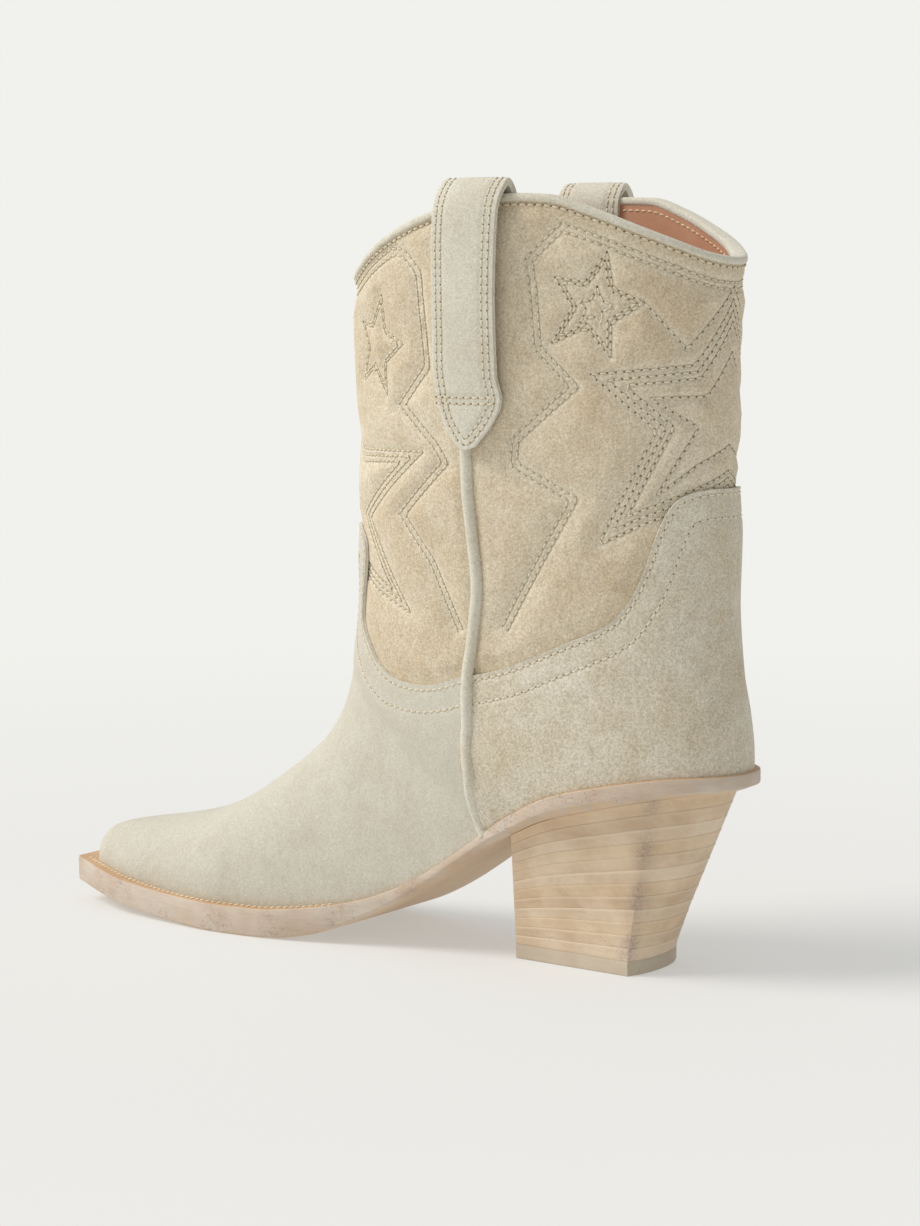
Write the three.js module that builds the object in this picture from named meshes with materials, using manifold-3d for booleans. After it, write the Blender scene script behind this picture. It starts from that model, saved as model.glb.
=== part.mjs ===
// Cowboy boot: suede upper with a quilted shaft, pull straps, welted leather sole and stacked heel.
// Millimetres, +Z up. The toe points to -X and the heel to +X; -Y is the boot's inner side.
// The origin lies on the heel tip's bottom face, so the boot stands on z = 0.
import * as THREE from "three";
import { mergeVertices } from "three/addons/utils/BufferGeometryUtils.js";
import Module from "manifold-3d";

const wasm = await Module();
wasm.setup();

// ---- Driving dimensions ------------------------------------------------------------------
const BOOT_LENGTH = 271; // welt tip to the back of the heel seat
const BOOT_WIDTH = 72; // across the sole at the ball
const SHAFT_HEIGHT = 256; // floor to the highest point of the top line
const TOP_LEATHER = 1.2; // suede of the vamp, the counter and the shaft
const PADDING = 1.5; // soft layer quilted behind the shaft
const LINING = 0.9;
const STIFFENER = 1.4; // toe puff and heel stiffener
const INTERLINING = 0.8;
const GAP = 0.3; // clearance between layers that touch
const LAP_GAP = 0.75; // clearance under the vamp and the counter where they lap over the shaft
const EDGE_GAP = 0.5; // clearance between the upper's lower edge and the welt
const RIM_GAP = 0.9; // clearance between the shaft's top edge and the binding
const INSOLE_GAP = 0.8; // clearance between the insole and the lining
const PIPING_RADIUS = 1.4;
const BINDING_HEIGHT = 3;
const BINDING_EXTRA = 0.4; // how far the binding stands out from the wall on each side
const STRAP_WIDTH = 25;
const STRAP_LEATHER = 1.6;
const STRAP_LINING = 0.9;
const STRAP_POINT = 15; // length of the pointed end
const STRAP_X = -32; // middle of the straps along the boot
const SNIP_WIDTH = 27; // flat end of the sole's toe
const TOE_MARGIN = 4.8; // how far the welt's toe stands in front of the vamp
const WELT_WIDTH = 8;
const INSOLE = 2.2;
const SOCK = 1;
const HEEL_PAD = 2.6;
const SHANK = { from: -98, to: -8, width: 13, thick: 1 };
const TIP_THICKNESS = 5;
const LIFT_COUNT = 12;
const GLUE_LINE = 0.2; // left between two lifts
const BORE_CLEARANCE = 0.3;
const SCREW = { x: 12, radius: 2.2, head: 3.2, headHeight: 0.6 };
const NAIL = { radius: 0.8, head: 1.4, headHeight: 0.5 };
const NAIL_SPOTS = [[-12, -9], [-12, 11], [24, -9], [24, 11]];

// ---- The last: tables drawn at these sizes, and stretched to the ones above ------------------
const DRAWN = { length: 271, width: 72, height: 256, ankle: 128 };
const SIDE_SEAM_X = -33;
const SHAFT_MID = 2; // the shaft's middle plane, beside the heel's
const sx = (x) => (x * BOOT_LENGTH) / DRAWN.length;
const sy = (y) => (y * BOOT_WIDTH) / DRAWN.width;
const sz = (z) =>
  z <= DRAWN.ankle
    ? z
    : DRAWN.ankle + ((z - DRAWN.ankle) * (SHAFT_HEIGHT - DRAWN.ankle)) / (DRAWN.height - DRAWN.ankle);

// Sections of the boot in front of the side seams, from the toe to the top:
// ridge x, ridge z, edge x, edge z (null: on the sole), half width there, middle y, belly.
const FRONT = [
  [-212.5, 16.6, -212.5, null, 0.6, 1.5, 0.9],
  [-212.3, 18.8, -212.3, null, 3.2, 1.5, 0.9],
  [-211.6, 21.8, -211.6, null, 6, 1.5, 0.9],
  [-210, 24.2, -210, null, 8.4, 1.5, 0.9],
  [-206.8, 26, -206.8, null, 11.2, 1.5, 0.88],
  [-200, 27.9, -200, null, 14.4, 1.5, 0.86],
  [-190, 29.9, -190, null, 18.9, 1.5, 0.85],
  [-176, 32.3, -176, null, 23, 1.6, 0.85],
  [-158, 36.7, -158, null, 27.5, 1.8, 0.85],
  [-142, 43.8, -140, null, 30, 2.2, 0.86],
  [-130.7, 51.6, -122, null, 30.2, 3, 0.87],
  [-120.4, 59.7, -103, null, 28.8, 3.5, 0.87],
  [-111.3, 68.2, -84, null, 26.8, 4, 0.86],
  [-105.1, 77.3, -66, null, 24.7, 4, 0.84],
  [-101.4, 86, -49, null, 23.2, 3.2, 0.82],
  [-99, 93.8, -33, null, 23.6, 2, 0.8],
  [-97.4, 101.5, -33, 66, 32.4, 2, 0.93],
  [-96.2, 110.5, -33, 90, 33.1, 2, 1],
  [-95.4, 118.7, -33, 110, 33.4, 2, 1],
  [-95, 128, -33, 128, 34.2, 2, 1],
  [-95.2, 150, -33, 150, 35.2, 2, 1],
  [-95.8, 180, -33, 180, 36.5, 2, 1],
  [-96.5, 215, -33, 215, 37.8, 2, 1],
  [-97, 262, -33, 262, 39, 2, 1],
];
const CORNER = 15; // the section that meets the sole at the side seam
const TOE_ROWS = 5; // the sections that round off the toe

// Behind the side seams the sections are level: z, then half width, back x and squareness.
const BACK = [
  [43, 22.4, 50, 2.3],
  [48, 25.9, 50, 2.3],
  [53, 28.6, 50, 2.3],
  [61, 31.6, 50, 2.3],
  [74, 33.2, 50, 2.25],
  [86, 33.2, 49, 2.2],
  [100, 33.1, 46.8, 2.1],
  [128, 34.2, 45, 2.05],
  [165, 36, 45.2, 2.05],
  [215, 37.8, 46.7, 2.05],
  [262, 39, 47.4, 2.05],
];
const SEAT_Z = [
  [-218, 16], [-209, 14.8], [-196, 13.2], [-178, 11.5], [-160, 10.5], [-140, 10], [-122, 10.2],
  [-108, 11.4], [-95, 13.4], [-82, 16.4], [-68, 21.9], [-56, 28.6], [-43, 37.3], [-33, 44.2],
  [-19, 52.5], [-3, 60], [12.5, 64], [26, 66.5], [37, 68], [54, 68.6],
];
const SOLE_BOTTOM_Z = [
  [-218, 7], [-206, 5.2], [-190, 3.3], [-167, 1.3], [-142, 0.1], [-128, 0], [-113, 0.5],
  [-98, 3.2], [-87, 7.8], [-74, 13.8], [-62, 21.2], [-49, 29.2], [-36, 37.6], [-23, 44.4],
  [-10, 50.3], [12.5, 56.5], [32, 60.7], [44, 62.3], [54, 62.6],
];
const WELT_THICKNESS = [[-218, 3.2], [-108, 3.4], [-82, 2.2], [-35, 2.2], [-19, 3.6], [54, 4]];
const WELT_MARGIN = [
  [-218, 4.8], [-190, 4.8], [-158, 3.6], [-125, 4.2], [-100, 3], [-80, 1.6], [-33, 1.2], [0, 1.6], [54, 2.2],
];
const RIM_Z = [
  [-98, 229.5], [-91, 230.8], [-84, 234], [-78, 237.5], [-67, 243], [-51, 249], [-33, 253.5],
  [-14, 256], [-3, 255.6], [11, 251.5], [27, 245], [36, 241], [44, 237], [49, 235],
];
// Seam heights over the share of the way round: ridge to side seam, and side seam to back.
const VAMP_TOP = [
  [0, 148], [0.2, 146], [0.28, 140], [0.34, 108], [0.44, 98], [0.56, 94], [0.7, 93], [0.82, 94.3], [1, 98.5],
];
const COUNTER_TOP = [
  [0, 98.5], [0.17, 102], [0.28, 107], [0.41, 112.5], [0.56, 119.5], [0.61, 125], [0.65, 132],
  [0.69, 142], [0.74, 155], [0.8, 159.5], [0.89, 161], [1, 161],
];
// Heel block outlines from the breast to the back: x and half width, at the tip and at the top.
const HEEL_BASE = [[-27.5, 12], [-12, 13.6], [3, 15], [18.5, 16.6], [20.8, 11], [21.8, 5.5], [22, 0]];
const HEEL_TOP = [[-24, 23], [-6, 25], [11, 25.4], [28, 22.4], [38, 17], [44.5, 9.5], [47, 0]];
const HEEL_TOP_MID = 2; // the heel's top is centred under the shaft
// Strap route: half distance between the straps and height, tip first, on the face by the wall.
const STRAP_ROUTE = [
  [39.4, 173], [40.5, 188], [42.4, 203], [44.2, 225], [44.8, 243], [43.8, 253],
  [38, 258.8], [33.2, 254.6], [32.4, 245], [32.7, 232], [32.4, 214],
];

// ---- Curves through tables -----------------------------------------------------------------
// A smooth curve through [x, y] points that never overshoots them.
function curve(points) {
  const n = points.length - 1;
  const slopes = points.slice(0, n).map((p, i) => (points[i + 1][1] - p[1]) / (points[i + 1][0] - p[0]));
  const tangent = (i) => {
    if (i === 0) return slopes[0];
    if (i === n) return slopes[n - 1];
    const [a, b] = [slopes[i - 1], slopes[i]];
    return a * b <= 0 ? 0 : (2 * a * b) / (a + b);
  };
  const tangents = points.map((_, i) => tangent(i));
  return (x) => {
    if (x <= points[0][0]) return points[0][1];
    if (x >= points[n][0]) return points[n][1];
    const i = points.findIndex((p) => p[0] > x) - 1;
    const [[x0, y0], [x1, y1]] = [points[i], points[i + 1]];
    const h = x1 - x0;
    const t = (x - x0) / h;
    const bend = h * t * (1 - t) * ((1 - t) * tangents[i] - t * tangents[i + 1]);
    return y0 + (y1 - y0) * t * t * (3 - 2 * t) + bend;
  };
}
const column = (table, k) => curve(table.map((row) => [row[0], row[k]]));
const byIndex = (table, k) => curve(table.map((row, i) => [i, row[k]]));
const lerp = (a, b, t) => a + (b - a) * t;
const range = (n) => Array.from({ length: n + 1 }, (_, i) => i / n);

const drawnSeatZ = curve(SEAT_Z);
const drawnBottomZ = curve(SOLE_BOTTOM_Z);
const drawnWelt = curve(WELT_THICKNESS);
const drawnMargin = curve(WELT_MARGIN);
const drawnRim = curve(RIM_Z);
const unstretch = (x) => (x * DRAWN.length) / BOOT_LENGTH;
const seatZ = (x) => drawnSeatZ(unstretch(x));
const soleBottomZ = (x) => drawnBottomZ(unstretch(x));
const weltThickness = (x) => drawnWelt(unstretch(x));
const weltMargin = (x) => drawnMargin(unstretch(x));
const rimZ = (x) => sz(drawnRim(unstretch(x)));
const vampTop = curve(VAMP_TOP);
const counterTop = curve(COUNTER_TOP);

// The height where f rises through zero between low and high.
function solve(f, low, high) {
  for (let i = 0; i < 40; i++) {
    const middle = (low + high) / 2;
    if (f(middle) > 0) high = middle;
    else low = middle;
  }
  return (low + high) / 2;
}

// ---- The last's surface ----------------------------------------------------------------------
// Depth d is measured inwards from the face of the shaft leather.
const front = {
  ridgeX: byIndex(FRONT, 0),
  ridgeZ: byIndex(FRONT, 1),
  edgeX: byIndex(FRONT, 2),
  edgeZ: byIndex(FRONT.map((r) => r.map((v, k) => (k === 3 && v === null ? drawnSeatZ(r[2]) : v))), 3),
  half: byIndex(FRONT, 4),
  middle: byIndex(FRONT, 5),
  belly: byIndex(FRONT, 6),
};

// A point of section s: c runs from -1 on the inner side over the ridge to 1 on the outer side.
function frontPoint(s, c, d, seamGap = 0) {
  const toe = Math.max(0, 1 - s / TOE_ROWS);
  const ridge = [sx(front.ridgeX(s)) + d * toe, sz(front.ridgeZ(s))];
  const onSole = s <= CORNER;
  const edgeX = sx(front.edgeX(s)) + d * toe;
  const edge = [edgeX, onSole ? seatZ(edgeX) + EDGE_GAP : sz(front.edgeZ(s))];
  const span = Math.hypot(edge[0] - ridge[0], edge[1] - ridge[1]);
  const dip = Math.min(d, 0.6 * span) / span;
  const top = [lerp(ridge[0], edge[0], dip), lerp(ridge[1], edge[1], dip)];
  const belly = front.belly(s);
  const turnEnd = Math.acos(1 - 1 / belly);
  const half = sy(front.half(s));
  const besideSeam = Math.min(1, Math.max(0, s - CORNER + 1));
  const pull = (besideSeam * seamGap) / (span * belly * Math.sin(turnEnd));
  const turn = Math.abs(c) * (turnEnd - pull);
  const t = belly * (1 - Math.cos(turn));
  const out = (Math.max(half - d, 0.3 * half) * Math.sin(turn)) / Math.sin(turnEnd);
  return [lerp(top[0], edge[0], t), front.middle(s) + Math.sign(c) * out, lerp(top[1], edge[1], t)];
}

const back = { half: column(BACK, 1), x: column(BACK, 2), square: column(BACK, 3) };

// A point behind the side seams: c runs from -1 at the inner seam over the back to 1 at the outer one.
function backPoint(c, drawnZ, d, seamGap = 0) {
  const reach = sx(back.x(drawnZ)) - sx(SIDE_SEAM_X) - d;
  const start = seamGap / reach;
  const turn = start + (1 - Math.abs(c)) * (Math.PI / 2 - start);
  const power = 2 / back.square(drawnZ);
  const along = reach * Math.sin(turn) ** power;
  const out = (sy(back.half(drawnZ)) - d) * Math.max(0, Math.cos(turn)) ** power;
  return [sx(SIDE_SEAM_X) + along, SHAFT_MID + Math.sign(c) * out, sz(drawnZ)];
}

// Where a column of the surface meets the sole, the rim or a seam.
const unstretchZ = (z) => solve((v) => sz(v) - z, 0, 2 * DRAWN.height);
const backFootZ = (c, d, gap) =>
  solve((z) => z - seatZ(backPoint(c, z, d, gap)[0]) - EDGE_GAP, 40, 80);
const backRimZ = (c, drop) =>
  solve((z) => sz(z) - rimZ(backPoint(c, z, 0)[0]) + drop, 180, 262);
const frontRimS = (c, drop) =>
  solve((s) => frontPoint(s, c, 0)[2] - rimZ(frontPoint(s, c, 0)[0]) + drop, CORNER + 1, FRONT.length - 1);
const frontSeamS = (c, lift) =>
  solve((s) => frontPoint(s, c, 0)[2] - sz(vampTop(Math.abs(c)) + lift), CORNER - 1, FRONT.length - 1);
const backSeamZ = (c, lift) => counterTop(1 - Math.abs(c)) + lift;

// ---- Meshes ------------------------------------------------------------------------------------
// One closed body from points and faces: merged, without empty triangles, and facing outwards.
function solid(points, triangles) {
  const geometry = new THREE.BufferGeometry();
  geometry.setAttribute("position", new THREE.Float32BufferAttribute(points.flat(), 3));
  geometry.setIndex(triangles.flat());
  const merged = mergeVertices(geometry, 1e-3);
  const index = [...merged.index.array];
  const kept = [];
  for (let i = 0; i < index.length; i += 3) {
    const [a, b, c] = index.slice(i, i + 3);
    if (a !== b && b !== c && a !== c) kept.push(a, b, c);
  }
  merged.setIndex(volume(merged, kept) < 0 ? kept.reverse() : kept);
  return merged;
}

function volume(geometry, index) {
  const at = (i) => new THREE.Vector3().fromBufferAttribute(geometry.attributes.position, i);
  let sum = 0;
  for (let i = 0; i < index.length; i += 3)
    sum += at(index[i]).dot(at(index[i + 1]).cross(at(index[i + 2]))) / 6;
  return sum;
}

const quad = (a, b, c, d) => [[a, b, c], [a, c, d]];

// A sheet with a thickness: two grids of points, rows by columns, joined round their border.
function slab(outer, inner) {
  const rows = outer.length;
  const cols = outer[0].length;
  const points = [...outer.flat(), ...inner.flat()];
  const o = (i, j) => i * cols + j;
  const n = (i, j) => rows * cols + o(i, j);
  const faces = [];
  for (let i = 0; i + 1 < rows; i++) {
    for (let j = 0; j + 1 < cols; j++) {
      faces.push(...quad(o(i, j), o(i, j + 1), o(i + 1, j + 1), o(i + 1, j)));
      faces.push(...quad(n(i, j), n(i + 1, j), n(i + 1, j + 1), n(i, j + 1)));
    }
    faces.push(...quad(o(i, 0), o(i + 1, 0), n(i + 1, 0), n(i, 0)));
    faces.push(...quad(o(i, cols - 1), n(i, cols - 1), n(i + 1, cols - 1), o(i + 1, cols - 1)));
  }
  for (let j = 0; j + 1 < cols; j++) {
    faces.push(...quad(o(0, j), n(0, j), n(0, j + 1), o(0, j + 1)));
    faces.push(...quad(o(rows - 1, j), o(rows - 1, j + 1), n(rows - 1, j + 1), n(rows - 1, j)));
  }
  return solid(points, faces);
}

// A body through sections that all have the same number of points; a ring when closed.
function loft(sections, closed = false) {
  const size = sections[0].length;
  const count = sections.length;
  const faces = [];
  const at = (i, j) => (i % count) * size + (j % size);
  for (let i = 0; i < (closed ? count : count - 1); i++)
    for (let j = 0; j < size; j++)
      faces.push(...quad(at(i, j), at(i, j + 1), at(i + 1, j + 1), at(i + 1, j)));
  if (!closed)
    for (let j = 1; j + 1 < size; j++) {
      faces.push([at(0, 0), at(0, j + 1), at(0, j)]);
      faces.push([at(count - 1, 0), at(count - 1, j), at(count - 1, j + 1)]);
    }
  return solid(sections.flat(), faces);
}

// Cuts round bores, given as [x, y, radius], straight down through a body.
function bored(geometry, bores) {
  const toSolid = (g) => {
    const bare = g.index ? g.toNonIndexed() : g.clone();
    bare.deleteAttribute("normal");
    bare.deleteAttribute("uv");
    const merged = mergeVertices(bare, 1e-3);
    const triVerts = new Uint32Array(merged.index.array);
    return new wasm.Manifold(
      new wasm.Mesh({ numProp: 3, vertProperties: merged.attributes.position.array, triVerts }),
    );
  };
  let body = toSolid(geometry);
  for (const [x, y, radius] of bores) {
    const drill = new THREE.CylinderGeometry(radius, radius, 4 * SHAFT_HEIGHT, 8);
    drill.rotateX(Math.PI / 2).translate(x, y, 0);
    body = body.subtract(toSolid(drill));
  }
  const mesh = body.getMesh();
  const cut = new THREE.BufferGeometry();
  cut.setAttribute("position", new THREE.BufferAttribute(new Float32Array(mesh.vertProperties), 3));
  cut.setIndex(new THREE.BufferAttribute(new Uint32Array(mesh.triVerts), 1));
  return cut;
}

const boot = new THREE.Group();
const LOOKS = {
  suede: { color: 0xd0c7ae, roughness: 0.95 },
  shaftSuede: { color: 0xcfbc96, roughness: 0.95 },
  trim: { color: 0xd2ccb6, roughness: 0.9 },
  lining: { color: 0xc98d66, roughness: 0.6 },
  padding: { color: 0xe6e2d8, roughness: 1 },
  board: { color: 0xb49a78, roughness: 0.9 },
  soleLeather: { color: 0xd2b595, roughness: 0.6 },
  heelLeather: { color: 0xcdb08a, roughness: 0.6 },
  rubber: { color: 0xbcb193, roughness: 0.7 },
  cork: { color: 0xa9794a, roughness: 1 },
  steel: { color: 0x9a9c9f, roughness: 0.35, metalness: 1 },
};
function add(name, look, geometry) {
  geometry.computeVertexNormals();
  const mesh = new THREE.Mesh(geometry, new THREE.MeshStandardMaterial(LOOKS[look]));
  mesh.name = name;
  boot.add(mesh);
}

// ---- Upper ---------------------------------------------------------------------------------------
const LAP = TOP_LEATHER + LAP_GAP; // the vamp and the counter lap over the shaft
const SEAM_GAP = 1.1 * PIPING_RADIUS + GAP; // the cut edges slant past the cord
const PAD_DEPTH = TOP_LEATHER + GAP;
const SHAFT_LINING_DEPTH = PAD_DEPTH + PADDING + GAP;
const WALL = SHAFT_LINING_DEPTH + LINING;
const FOOT_LINING_DEPTH = STIFFENER + GAP;
const FOOT_WALL = FOOT_LINING_DEPTH + LINING;

const across = (cols) => range(cols).map((t) => 2 * t - 1);
const FRONT_COLUMNS = across(14);
const BACK_COLUMNS = across(16);
// Layers that lie on each other share their rows, so that they stay nested.
const FOOT_SECTIONS = [0, 0.5, 1, 2, 3, 4, 5.5, 7, 8, 9, 10, 11, 12, 13];
const FOOT_LEVELS = [0, 0.06, 0.15, 0.3, 0.5, 0.75, 1];
const FOOT_LEVEL_TOP = 108; // height of the highest of the levels
const NEAR_SEAM = 14.5; // the section halfway to the side seam's
const ANKLE_SECTIONS = [16, 17, 18, 19.2]; // the front's sections up to the top of the tongue
const MID_SHAFT_SECTION = 21.5;
const TAB_LEVELS = [122, 140]; // the back's levels up to the top of the counter
const MID_SHAFT_LEVEL = 200;
const LINING_JOIN = 12; // how far below the top seams the foot's lining meets the shaft's
const SHAFT_LAP = 10; // how far the shaft runs down behind the lapped seams
const TONGUE = 0.44; // share of the way round where the vamp's tongue rises from its seam

// A piece from rows of section numbers; a row is a number, or gives one for each column.
function frontPiece(rows, depth, thick) {
  const at = (row, c) => (typeof row === "function" ? row(c) : row);
  const grid = (d) => rows.map((row) => FRONT_COLUMNS.map((c) => frontPoint(at(row, c), c, d, SEAM_GAP)));
  return slab(grid(depth), grid(depth + thick));
}

// A piece of the back; each row gives the height on the last for a column and a depth.
function backPiece(rows, depth, thick) {
  const grid = (d) => rows.map((row) => BACK_COLUMNS.map((c) => backPoint(c, row(c, d), d, SEAM_GAP)));
  return slab(grid(depth), grid(depth + thick));
}

// Rows that follow fixed sections or levels, and stop on a lower or an upper bound.
const notOver = (row, bound) => (c, d) => Math.min(typeof row === "function" ? row(c, d) : row, bound(c));
const notUnder = (level, bound) => (c) => Math.max(level, bound(c));
const backFoot = (c, d) => backFootZ(c, d, SEAM_GAP);
const footLevels = (most) =>
  FOOT_LEVELS.filter((t) => t <= most).map((t) => (c, d) => lerp(backFoot(c, d), FOOT_LEVEL_TOP, t));

function makeVamp() {
  const seam = (c) => frontSeamS(c, 0);
  const tongue = [...ANKLE_SECTIONS.map((s) => notOver(s, seam)), seam];
  add("vamp", "suede", frontPiece([...FOOT_SECTIONS, 14, NEAR_SEAM, CORNER, ...tongue], -LAP, TOP_LEATHER));
}

function makeCounter() {
  const seam = (c) => backSeamZ(c, 0);
  const levels = [...footLevels(1), ...TAB_LEVELS].map((row) => notOver(row, seam));
  add("heel_counter", "suede", backPiece([...levels, seam], -LAP, TOP_LEATHER));
}

// The shaft's leather, padding and lining, front and back, run under the vamp and the counter.
function makeShaft() {
  const drop = BINDING_HEIGHT + RIM_GAP;
  const low = (c) => frontSeamS(Math.max(TONGUE, Math.abs(c)), -SHAFT_LAP);
  const backLow = (c) => Math.min(backSeamZ(c, -SHAFT_LAP), FOOT_LEVEL_TOP);
  const frontSections = [NEAR_SEAM, CORNER, ...ANKLE_SECTIONS, MID_SHAFT_SECTION];
  const frontRows = [low, ...frontSections.map((s) => notUnder(s, low)), (c) => frontRimS(c, drop)];
  const backLevels = [FOOT_LEVEL_TOP, ...TAB_LEVELS, MID_SHAFT_LEVEL].map((z) => notUnder(z, backLow));
  const backRows = [backLow, ...backLevels, (c) => backRimZ(c, drop)];
  for (const [name, look, depth, thick] of [
    ["shaft", "shaftSuede", 0, TOP_LEATHER],
    ["shaft_pad", "padding", PAD_DEPTH, PADDING],
    ["shaft_lining", "lining", SHAFT_LINING_DEPTH, LINING],
  ]) {
    add(`${name}_front`, look, frontPiece(frontRows, depth, thick));
    add(`${name}_back`, look, backPiece(backRows, depth, thick));
  }
}

// Lining, puff, interlining and stiffener of the foot; they stop below the shaft's layers.
function makeFootLayers() {
  const liningTop = (c) => frontSeamS(Math.max(TONGUE, Math.abs(c)), -LINING_JOIN);
  const overInstep = [14, NEAR_SEAM, CORNER, 16].map((s) => notOver(s, liningTop));
  const liningRows = [...FOOT_SECTIONS, ...overInstep, liningTop];
  add("vamp_lining", "lining", frontPiece(liningRows, FOOT_LINING_DEPTH, LINING));
  const puffEnd = 7;
  const upTo = FOOT_SECTIONS.filter((s) => s < puffEnd);
  const onFrom = FOOT_SECTIONS.filter((s) => s >= puffEnd);
  add("toe_puff", "board", frontPiece(upTo, 0, STIFFENER));
  add("vamp_interlining", "padding", frontPiece(onFrom, 0, INTERLINING));
  const join = (c) => backSeamZ(c, -LINING_JOIN);
  const heelRows = footLevels(1).map((row) => notOver(row, join));
  add("heel_lining", "lining", backPiece(heelRows, FOOT_LINING_DEPTH, LINING));
  add("heel_stiffener", "board", backPiece(footLevels(0.5), 0, STIFFENER));
}

// Round cord along each side seam, from the sole to just under the binding.
function makePiping() {
  const sides = 6;
  for (const [name, side] of [["inner", -1], ["outer", 1]]) {
    const low = backFootZ(side, 0, 0) + 2;
    const high = unstretchZ(rimZ(sx(SIDE_SEAM_X) - PIPING_RADIUS) - BINDING_HEIGHT - RIM_GAP);
    const sections = range(14).map((t) => {
      const [x, y, z] = backPoint(side, lerp(low, high, t), 0);
      return range(sides).slice(1).map((a) => [
        x + PIPING_RADIUS * Math.cos(2 * Math.PI * a),
        y + PIPING_RADIUS * Math.sin(2 * Math.PI * a),
        z,
      ]);
    });
    add(`side_piping_${name}`, "trim", loft(sections));
  }
}

// The rim of the boot as a closed line, at a depth into the wall.
function rimLine(d, drop) {
  const frontLine = FRONT_COLUMNS.slice(0, -1).map((c) => frontPoint(frontRimS(c, drop), c, d));
  const backLine = BACK_COLUMNS.slice(0, -1).map((c) => backPoint(-c, backRimZ(-c, drop), d));
  return [...frontLine, ...backLine];
}

function makeBinding() {
  const out = -BINDING_EXTRA;
  const inn = WALL + BINDING_EXTRA;
  const corner = 0.35;
  const lines = [
    rimLine(out, BINDING_HEIGHT),
    rimLine(out, corner * BINDING_HEIGHT),
    rimLine(lerp(out, inn, 0.3), 0),
    rimLine(lerp(out, inn, 0.7), 0),
    rimLine(inn, corner * BINDING_HEIGHT),
    rimLine(inn, BINDING_HEIGHT),
  ];
  add("top_binding", "trim", loft(lines[0].map((_, i) => lines.map((line) => line[i])), true));
}

// Pull straps: a band up the outside, over the rim and down the inside, in leather and lining.
function makeStraps() {
  const widen = sy(39) - 39;
  const route = new THREE.SplineCurve(
    STRAP_ROUTE.map(([h, z]) => new THREE.Vector2(h + widen, sz(z))),
  );
  const samples = range(26);
  const band = (near, thick, side) => samples.map((t) => {
    const p = route.getPointAt(t);
    const dir = route.getTangentAt(t);
    const pointed = Math.min(1, (t * route.getLength()) / STRAP_POINT);
    const half = Math.max(0.6, (STRAP_WIDTH / 2) * pointed);
    const at = (n) => [p.x + n * dir.y, p.y - n * dir.x];
    const [low, high] = [at(near), at(near + thick)];
    const place = ([h, z], dx) => [sx(STRAP_X) + dx, SHAFT_MID + side * h, z];
    return [place(low, -half), place(low, half), place(high, half), place(high, -half)];
  });
  for (const [name, side] of [["inner", -1], ["outer", 1]]) {
    add(`pull_strap_lining_${name}`, "lining", loft(band(0, STRAP_LINING, side)));
    add(`pull_strap_${name}`, "trim", loft(band(STRAP_LINING + GAP, STRAP_LEATHER, side)));
  }
}

// ---- Sole ------------------------------------------------------------------------------------------
// Pairs of points, inner side and outer side, from the toe to the back, standing out by `out(x)`
// from the last's edge. The toe is snipped off straight.
function solePairs(out, snipped) {
  const sections = range(19).map((t) => lerp(5.5, CORNER - 0.1, t));
  const turns = [0.06, 0.14, 0.22, 0.3, 0.38, 0.48, 0.58, 0.68, 0.78, 0.86, 0.93, 0.97];
  const edge = [
    ...sections.map((s) => frontPoint(s, -1, 0)),
    ...turns.map((t) => backPoint(t - 1, backFootZ(t - 1, 0, 0), 0)),
    backPoint(0, backFootZ(0, 0, 0), 0),
  ];
  const middle = [
    ...sections.map((s) => front.middle(s)),
    ...turns.map(() => SHAFT_MID),
    SHAFT_MID,
  ];
  const pairs = edge.map(([x, y], i) => {
    const half = middle[i] - y;
    const next = edge[Math.min(i + 1, edge.length - 1)];
    const last = edge[Math.max(i - 1, 0)];
    const [dx, dy] = [next[0] - last[0], next[1] - last[1]];
    const far = i === edge.length - 1 ? [1, 0] : [dy / Math.hypot(dx, dy), dx / Math.hypot(dx, dy)];
    const reach = out(x);
    const w = Math.max(0, half + reach * far[1]);
    return { x: x + reach * far[0], near: middle[i] - w, far: middle[i] + w };
  });
  const lastPair = pairs[pairs.length - 1];
  Object.assign(lastPair, { near: SHAFT_MID, far: SHAFT_MID });
  const toeX = sx(FRONT[0][0]) - snipped.ahead;
  const middleY = front.middle(0);
  const toe = { x: toeX, near: middleY - snipped.width / 2, far: middleY + snipped.width / 2 };
  return [toe, ...pairs];
}

// A plate between two heights over pairs; `top` and `bottom` give z from x.
function plate(pairs, bottom, top) {
  return loft(pairs.map(({ x, near, far }) => [
    [x, near, bottom(x)], [x, far, bottom(x)], [x, far, top(x)], [x, near, top(x)],
  ]));
}

// Pairs from one x to another, with straight ends.
function between(pairs, low, high) {
  const half = (x, key) => curve(pairs.map((p) => [p.x, p[key]]))(x);
  const inside = pairs.filter((p) => p.x > low + 1 && p.x < high - 1);
  const end = (x) => ({ x, near: half(x, "near"), far: half(x, "far") });
  return [end(low), ...inside, end(high)];
}

const outsoleTop = (x) => seatZ(x) - weltThickness(x) - GAP;
const weltOut = (x) => LAP + weltMargin(x);
const soleEdge = solePairs(weltOut, { ahead: LAP + TOE_MARGIN, width: SNIP_WIDTH });
const weltInner = solePairs((x) => weltOut(x) - WELT_WIDTH, {
  ahead: LAP + TOE_MARGIN - WELT_WIDTH, width: SNIP_WIDTH - 1.3 * WELT_WIDTH,
});
const cavity = solePairs((x) => weltOut(x) - WELT_WIDTH - GAP, {
  ahead: LAP + TOE_MARGIN - WELT_WIDTH - GAP, width: SNIP_WIDTH - 1.3 * WELT_WIDTH - 2 * GAP,
});
const footbed = solePairs(() => -FOOT_WALL - INSOLE_GAP, { ahead: -FOOT_WALL - 2 * INSOLE_GAP, width: 8 });

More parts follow.
